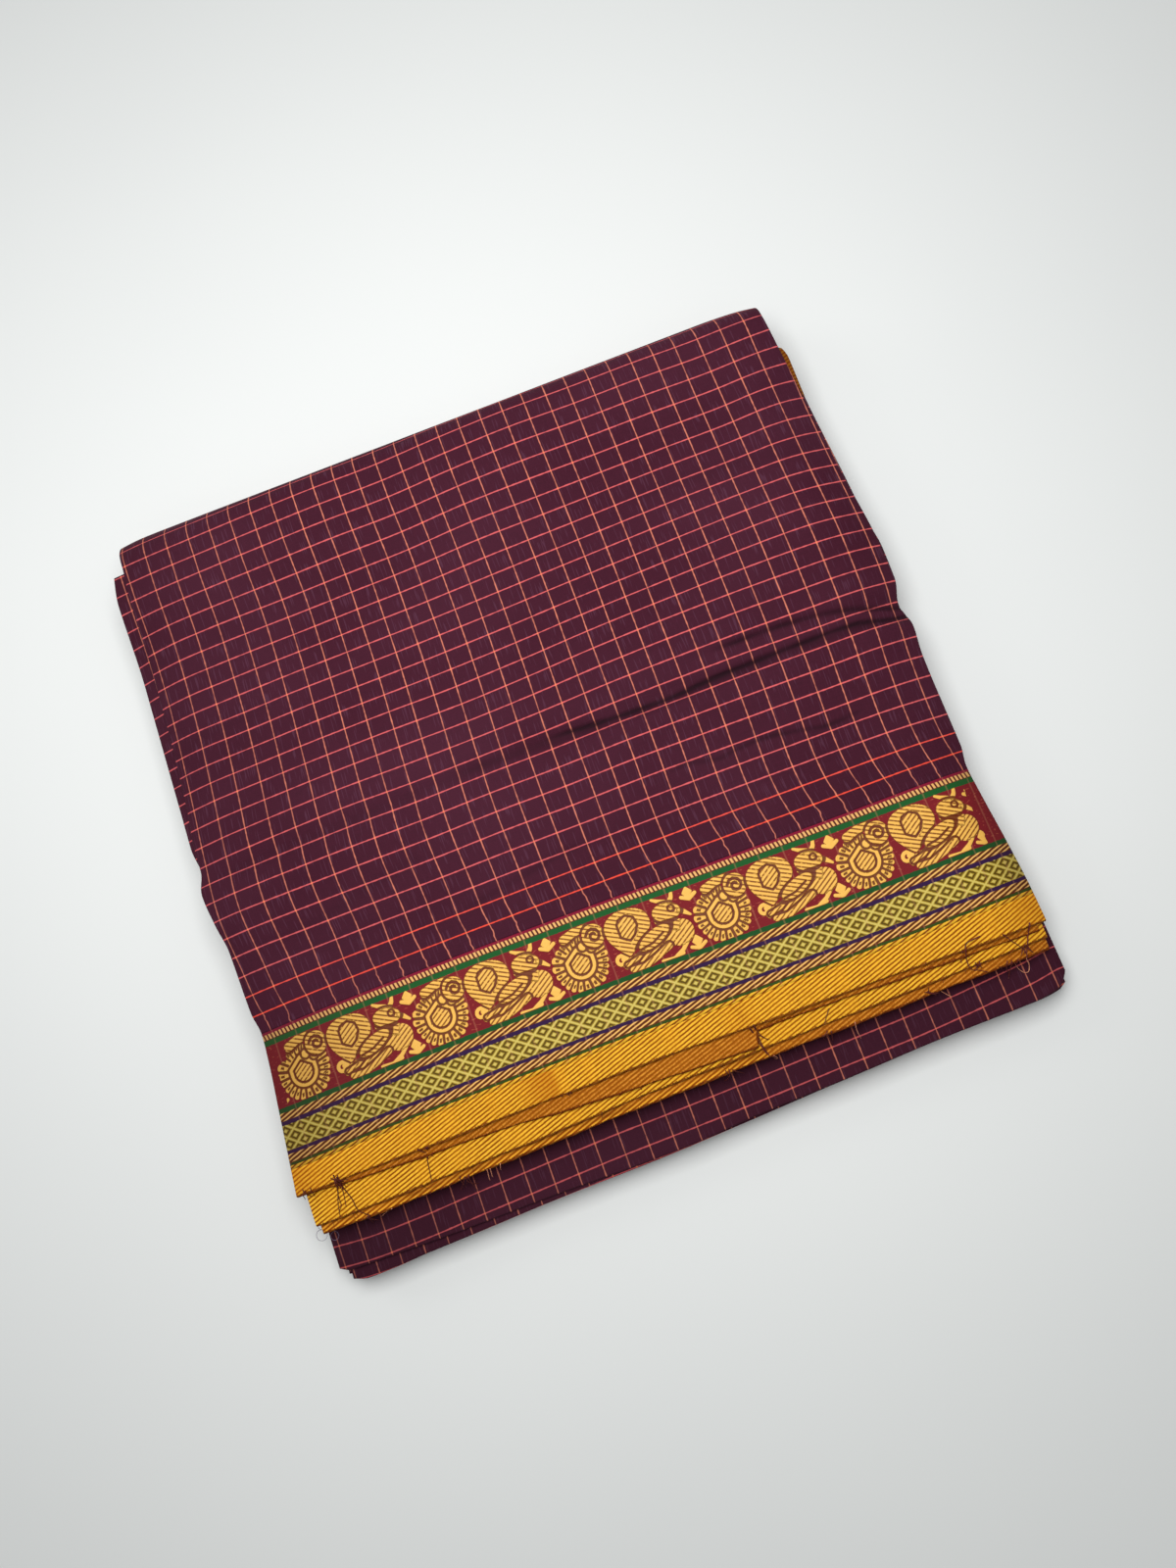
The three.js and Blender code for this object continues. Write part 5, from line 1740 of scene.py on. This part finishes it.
raised = calc(bands, "SUBTRACT", raised, calc(bands, "MULTIPLY", figure, 0.8))
bands.links.new(colour, given["Colour"])
bands.links.new(calc(bands, "MULTIPLY_ADD", grained["Height"], 0.5, raised), given["Height"])
silk_share = calc(bands, "MAXIMUM", on_gold, calc(bands, "MAXIMUM", ticks, in_diamonds))
bands.links.new(silk_share, given["Silk"])

# %% [markdown]
# The border's material hands its marks to the group, and its silk is less rough than its cotton.

# %% Border cloth material
border_silk, tree, surface = new_material("border_silk")
threads = threads_of(tree)
figures = {"Gold": mark(tree, "gold"), "Dark": mark(tree, "dark"), "Hatch": mark(tree, "hatch")}
banded = use_group(tree, "border_bands", {"Threads": threads, **figures})
roughness = calc(tree, "MULTIPLY_ADD", banded["Silk"], -0.22, 0.70)
dress(tree, surface, banded["Colour"], banded["Height"], 0.7, roughness, 0.18)
print("band nodes:", len(bands.nodes))

# %% [markdown]
# The hidden leaves show only at the sides: mostly checks, and the border's bands towards the front.

# %% Hidden cloth
hidden_cloth, tree, surface = new_material("hidden_leaf_cloth")
threads = threads_of(tree)
checked = use_group(tree, "cotton_checks", {"Threads": threads})
banded = use_group(tree, "border_bands", {"Threads": threads, "Gold": -1.0, "Dark": -1.0, "Hatch": 0.0})
over = split_threads(tree, threads)[1]
on_body = soft_step(tree, over, BORDER_SEAM - 0.2, BORDER_SEAM + 0.2)
colour = blend_colours(tree, on_body, banded["Colour"], checked["Colour"])
grained = use_group(tree, "thread_grain", {"Threads": threads})
roughness = calc(tree, "MULTIPLY_ADD", grained["Shade"], 0.2, 0.7)
dress(tree, surface, colour, checked["Height"], 0.5, roughness, 0.1)
print("hidden cloth nodes:", len(tree.nodes))

# %% [markdown]
# The selvedge twill is golden orange and shines like silk, so its ribs catch the light. Its reverse
# is duller and browner, because there the dark weft covers the silk.


# %% Twill materials
def twill_material(name, deep, bright, rib, rough, streak, hem_width, mottle):
    """Ribbed cloth whose unhemmed front edge is darker and ragged, partly its own ragged edge and partly
    painted shadow.
    """
    material, tree, surface = new_material(name)
    threads = threads_of(tree)
    ribs = use_ribs(tree, threads, SELVEDGE_SLANT, rib)
    grained = use_group(tree, "thread_grain", {"Threads": threads})
    colour = blend_colours(tree, ribs, deep, bright)
    bars = thread_noise(tree, threads, 0.11, 0.01, 2.0, 31.0)
    bars = calc(tree, "MULTIPLY", soft_step(tree, bars, 0.42, 0.70), 0.25)
    colour = blend_colours(tree, bars, colour, streak)
    shade = calc(tree, "MULTIPLY", soft_step(tree, grained["Shade"], 0.42, 0.60), mottle)
    colour = blend_colours(tree, shade, colour, deep)
    hem = mark(tree, "hem")
    ragged = calc(tree, "MULTIPLY_ADD", thread_noise(tree, threads, 1.6, 0.3, 2.0, 17.0), 1.5, -0.55)
    ragged = calc(tree, "ADD", ragged, hem_width)
    # a dark band along the front edge: partly the cloth's own ragged edge, partly painted shadow
    dark_edge_and_shadow = soft_fall(tree, calc(tree, "SUBTRACT", hem, ragged), -0.2, 0.25)
    # painted shade: darker bars and ends on the selvedge on top
    colour = blend_colours(tree, mark(tree, "pressed"), colour, rgb(186, 98, 6))
    lower_row = blend_colours(tree, ribs, rgb(150, 70, 4), rgb(246, 172, 48))
    colour = blend_colours(tree, mark(tree, "second_row"), colour, lower_row)
    # painted shadow: the parting line between the strip and the row below
    dark_edge_and_shadow = calc(tree, "MAXIMUM", dark_edge_and_shadow, mark(tree, "parting"))
    colour = blend_colours(tree, calc(tree, "MULTIPLY", dark_edge_and_shadow, 0.85), colour, rgb(100, 36, 6))
    height = calc(tree, "MULTIPLY_ADD", ribs, 0.8, calc(tree, "MULTIPLY", grained["Height"], 0.5))
    roughness = calc(tree, "MULTIPLY_ADD", grained["Shade"], 0.2, rough)
    dress(tree, surface, colour, height, 0.6, roughness, 0.08)
    return material


golden_twill = twill_material(
    "golden_twill", SELVEDGE_DEEP, SELVEDGE_BRIGHT, SELVEDGE_RIB, 0.55, rgb(244, 162, 30), 0.5, 0.24
)
brown_twill = twill_material(
    "brown_twill", rgb(150, 76, 6), rgb(222, 146, 48), 0.5, 0.7, rgb(188, 108, 22), 0.45, 0.6
)
print("twill materials: 2")

# %% [markdown]
# Loose threads have one colour each, a little uneven along their length.


# %% Thread materials
def thread_material(name, deep, bright):
    material, tree, surface = new_material(name)
    place = add_node(tree, "ShaderNodeTexCoord").outputs["Object"]
    noise = add_node(tree, "ShaderNodeTexNoise", {"Vector": place, "Scale": 400.0, "Detail": 1.0})
    twist = add_node(tree, "ShaderNodeTexWave", {"Vector": place, "Scale": 900.0, "Distortion": 2.0})
    colour = blend_colours(tree, noise.outputs[0], deep, bright)
    rough = calc(tree, "MULTIPLY_ADD", noise.outputs[0], 0.2, 0.6)
    dress(tree, surface, colour, twist.outputs["Fac"], 0.3, rough)
    return material


red_thread = thread_material("red_brown_thread", rgb(58, 8, 4), rgb(112, 28, 10))
grey_thread = thread_material("grey_purple_thread", rgb(70, 58, 84), rgb(128, 112, 136))
pale_thread = thread_material("pale_thread", rgb(190, 112, 88), rgb(228, 160, 118))
print("thread materials: 3")

# %% [markdown]
# ## Joining it to the frame
# Each cloth rides on the saree's one body, hides the solid that it stands for, and takes its material.

# %% Joining the cloths to the frame
PANEL = 0.306
DRESSING = [
    # piece, its solids, finish, material, flat width and length in metres, and what it lies on
    (body_cloth, ["body_leaf"], "checked_cotton", cotton, (PANEL, 0.300), ["hidden_leaves"]),
    (border_cloth, ["brocade_border"], "brocade", border_silk, (0.320, 0.053), ["hidden_leaves"]),
    (selvedge_cloth, ["selvedge_first"], "selvedge_twill", golden_twill, (0.322, 0.012), ["reverse_strip"]),
    (reverse_strip, ["reverse_first"], "twill_reverse", brown_twill, (0.311, 0.032), ["second_selvedge"]),
    (second_selvedge, ["selvedge_second"], "selvedge_twill", golden_twill, (0.311, 0.04),
     ["second_reverse"]),
    (second_reverse, ["reverse_second"], "twill_reverse", brown_twill, (0.310, 0.044), ["selvedge_edges"]),
    (selvedge_edges, ["selvedge_layers"], "selvedge_twill", golden_twill, (0.306, 0.240), ["first_fold"]),
    (first_fold, ["centre_fold_first"], "checked_cotton", cotton, (0.312, 0.059), ["second_fold"]),
    (second_fold, ["centre_fold_second"], "checked_cotton", cotton, (0.306, 0.060), ["lower_folds"]),
    (lower_folds, ["centre_fold_layers"], "checked_cotton", cotton, (0.306, 0.470), ["bottom_leaf"]),
    (hidden_leaves, ["hidden_layers"], "checked_cotton", hidden_cloth, (0.306, 6.0), ["bottom_leaf"]),
    (bottom_leaf, ["under_leaf"], "checked_cotton", cotton, (PANEL, 0.246), []),
    (left_leaf, ["left_leaf"], "checked_cotton", cotton, (0.017, 0.237), ["hidden_leaves"]),
    (right_leaf, ["right_leaf"], "checked_cotton", cotton, (0.017, 0.200), ["hidden_leaves"]),
    (inner_selvedge, ["inner_selvedge"], "selvedge_twill", golden_twill, (0.014, 0.031), ["hidden_leaves"]),
]
for piece, solids, finish, material, flat, under in DRESSING:
    piece.data.materials.append(material)
    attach(piece, "root")
    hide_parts(*solids)
for piece, material in ((frayed_ends, red_thread), (pale_threads, pale_thread), (corner_loops, grey_thread)):
    piece.data.materials.append(material)
    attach(piece, "root")
print("pieces:", len(DRESSING) + 3)

# %% [markdown]
# ## Size
# The finished cloths stay inside the box of the solids, apart from a few millimetres of loose
# thread. Both boxes are gathered together, and the size of the cloths is printed.

# %% Size and finish
seen_low, seen_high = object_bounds()
boxes = {"cad": [list(cad_low), list(cad_high)], "visual": [list(seen_low), list(seen_high)]}
json.loads(json.dumps(boxes, default=float))
print("size:", [round(float(v), 4) for v in seen_high - seen_low])
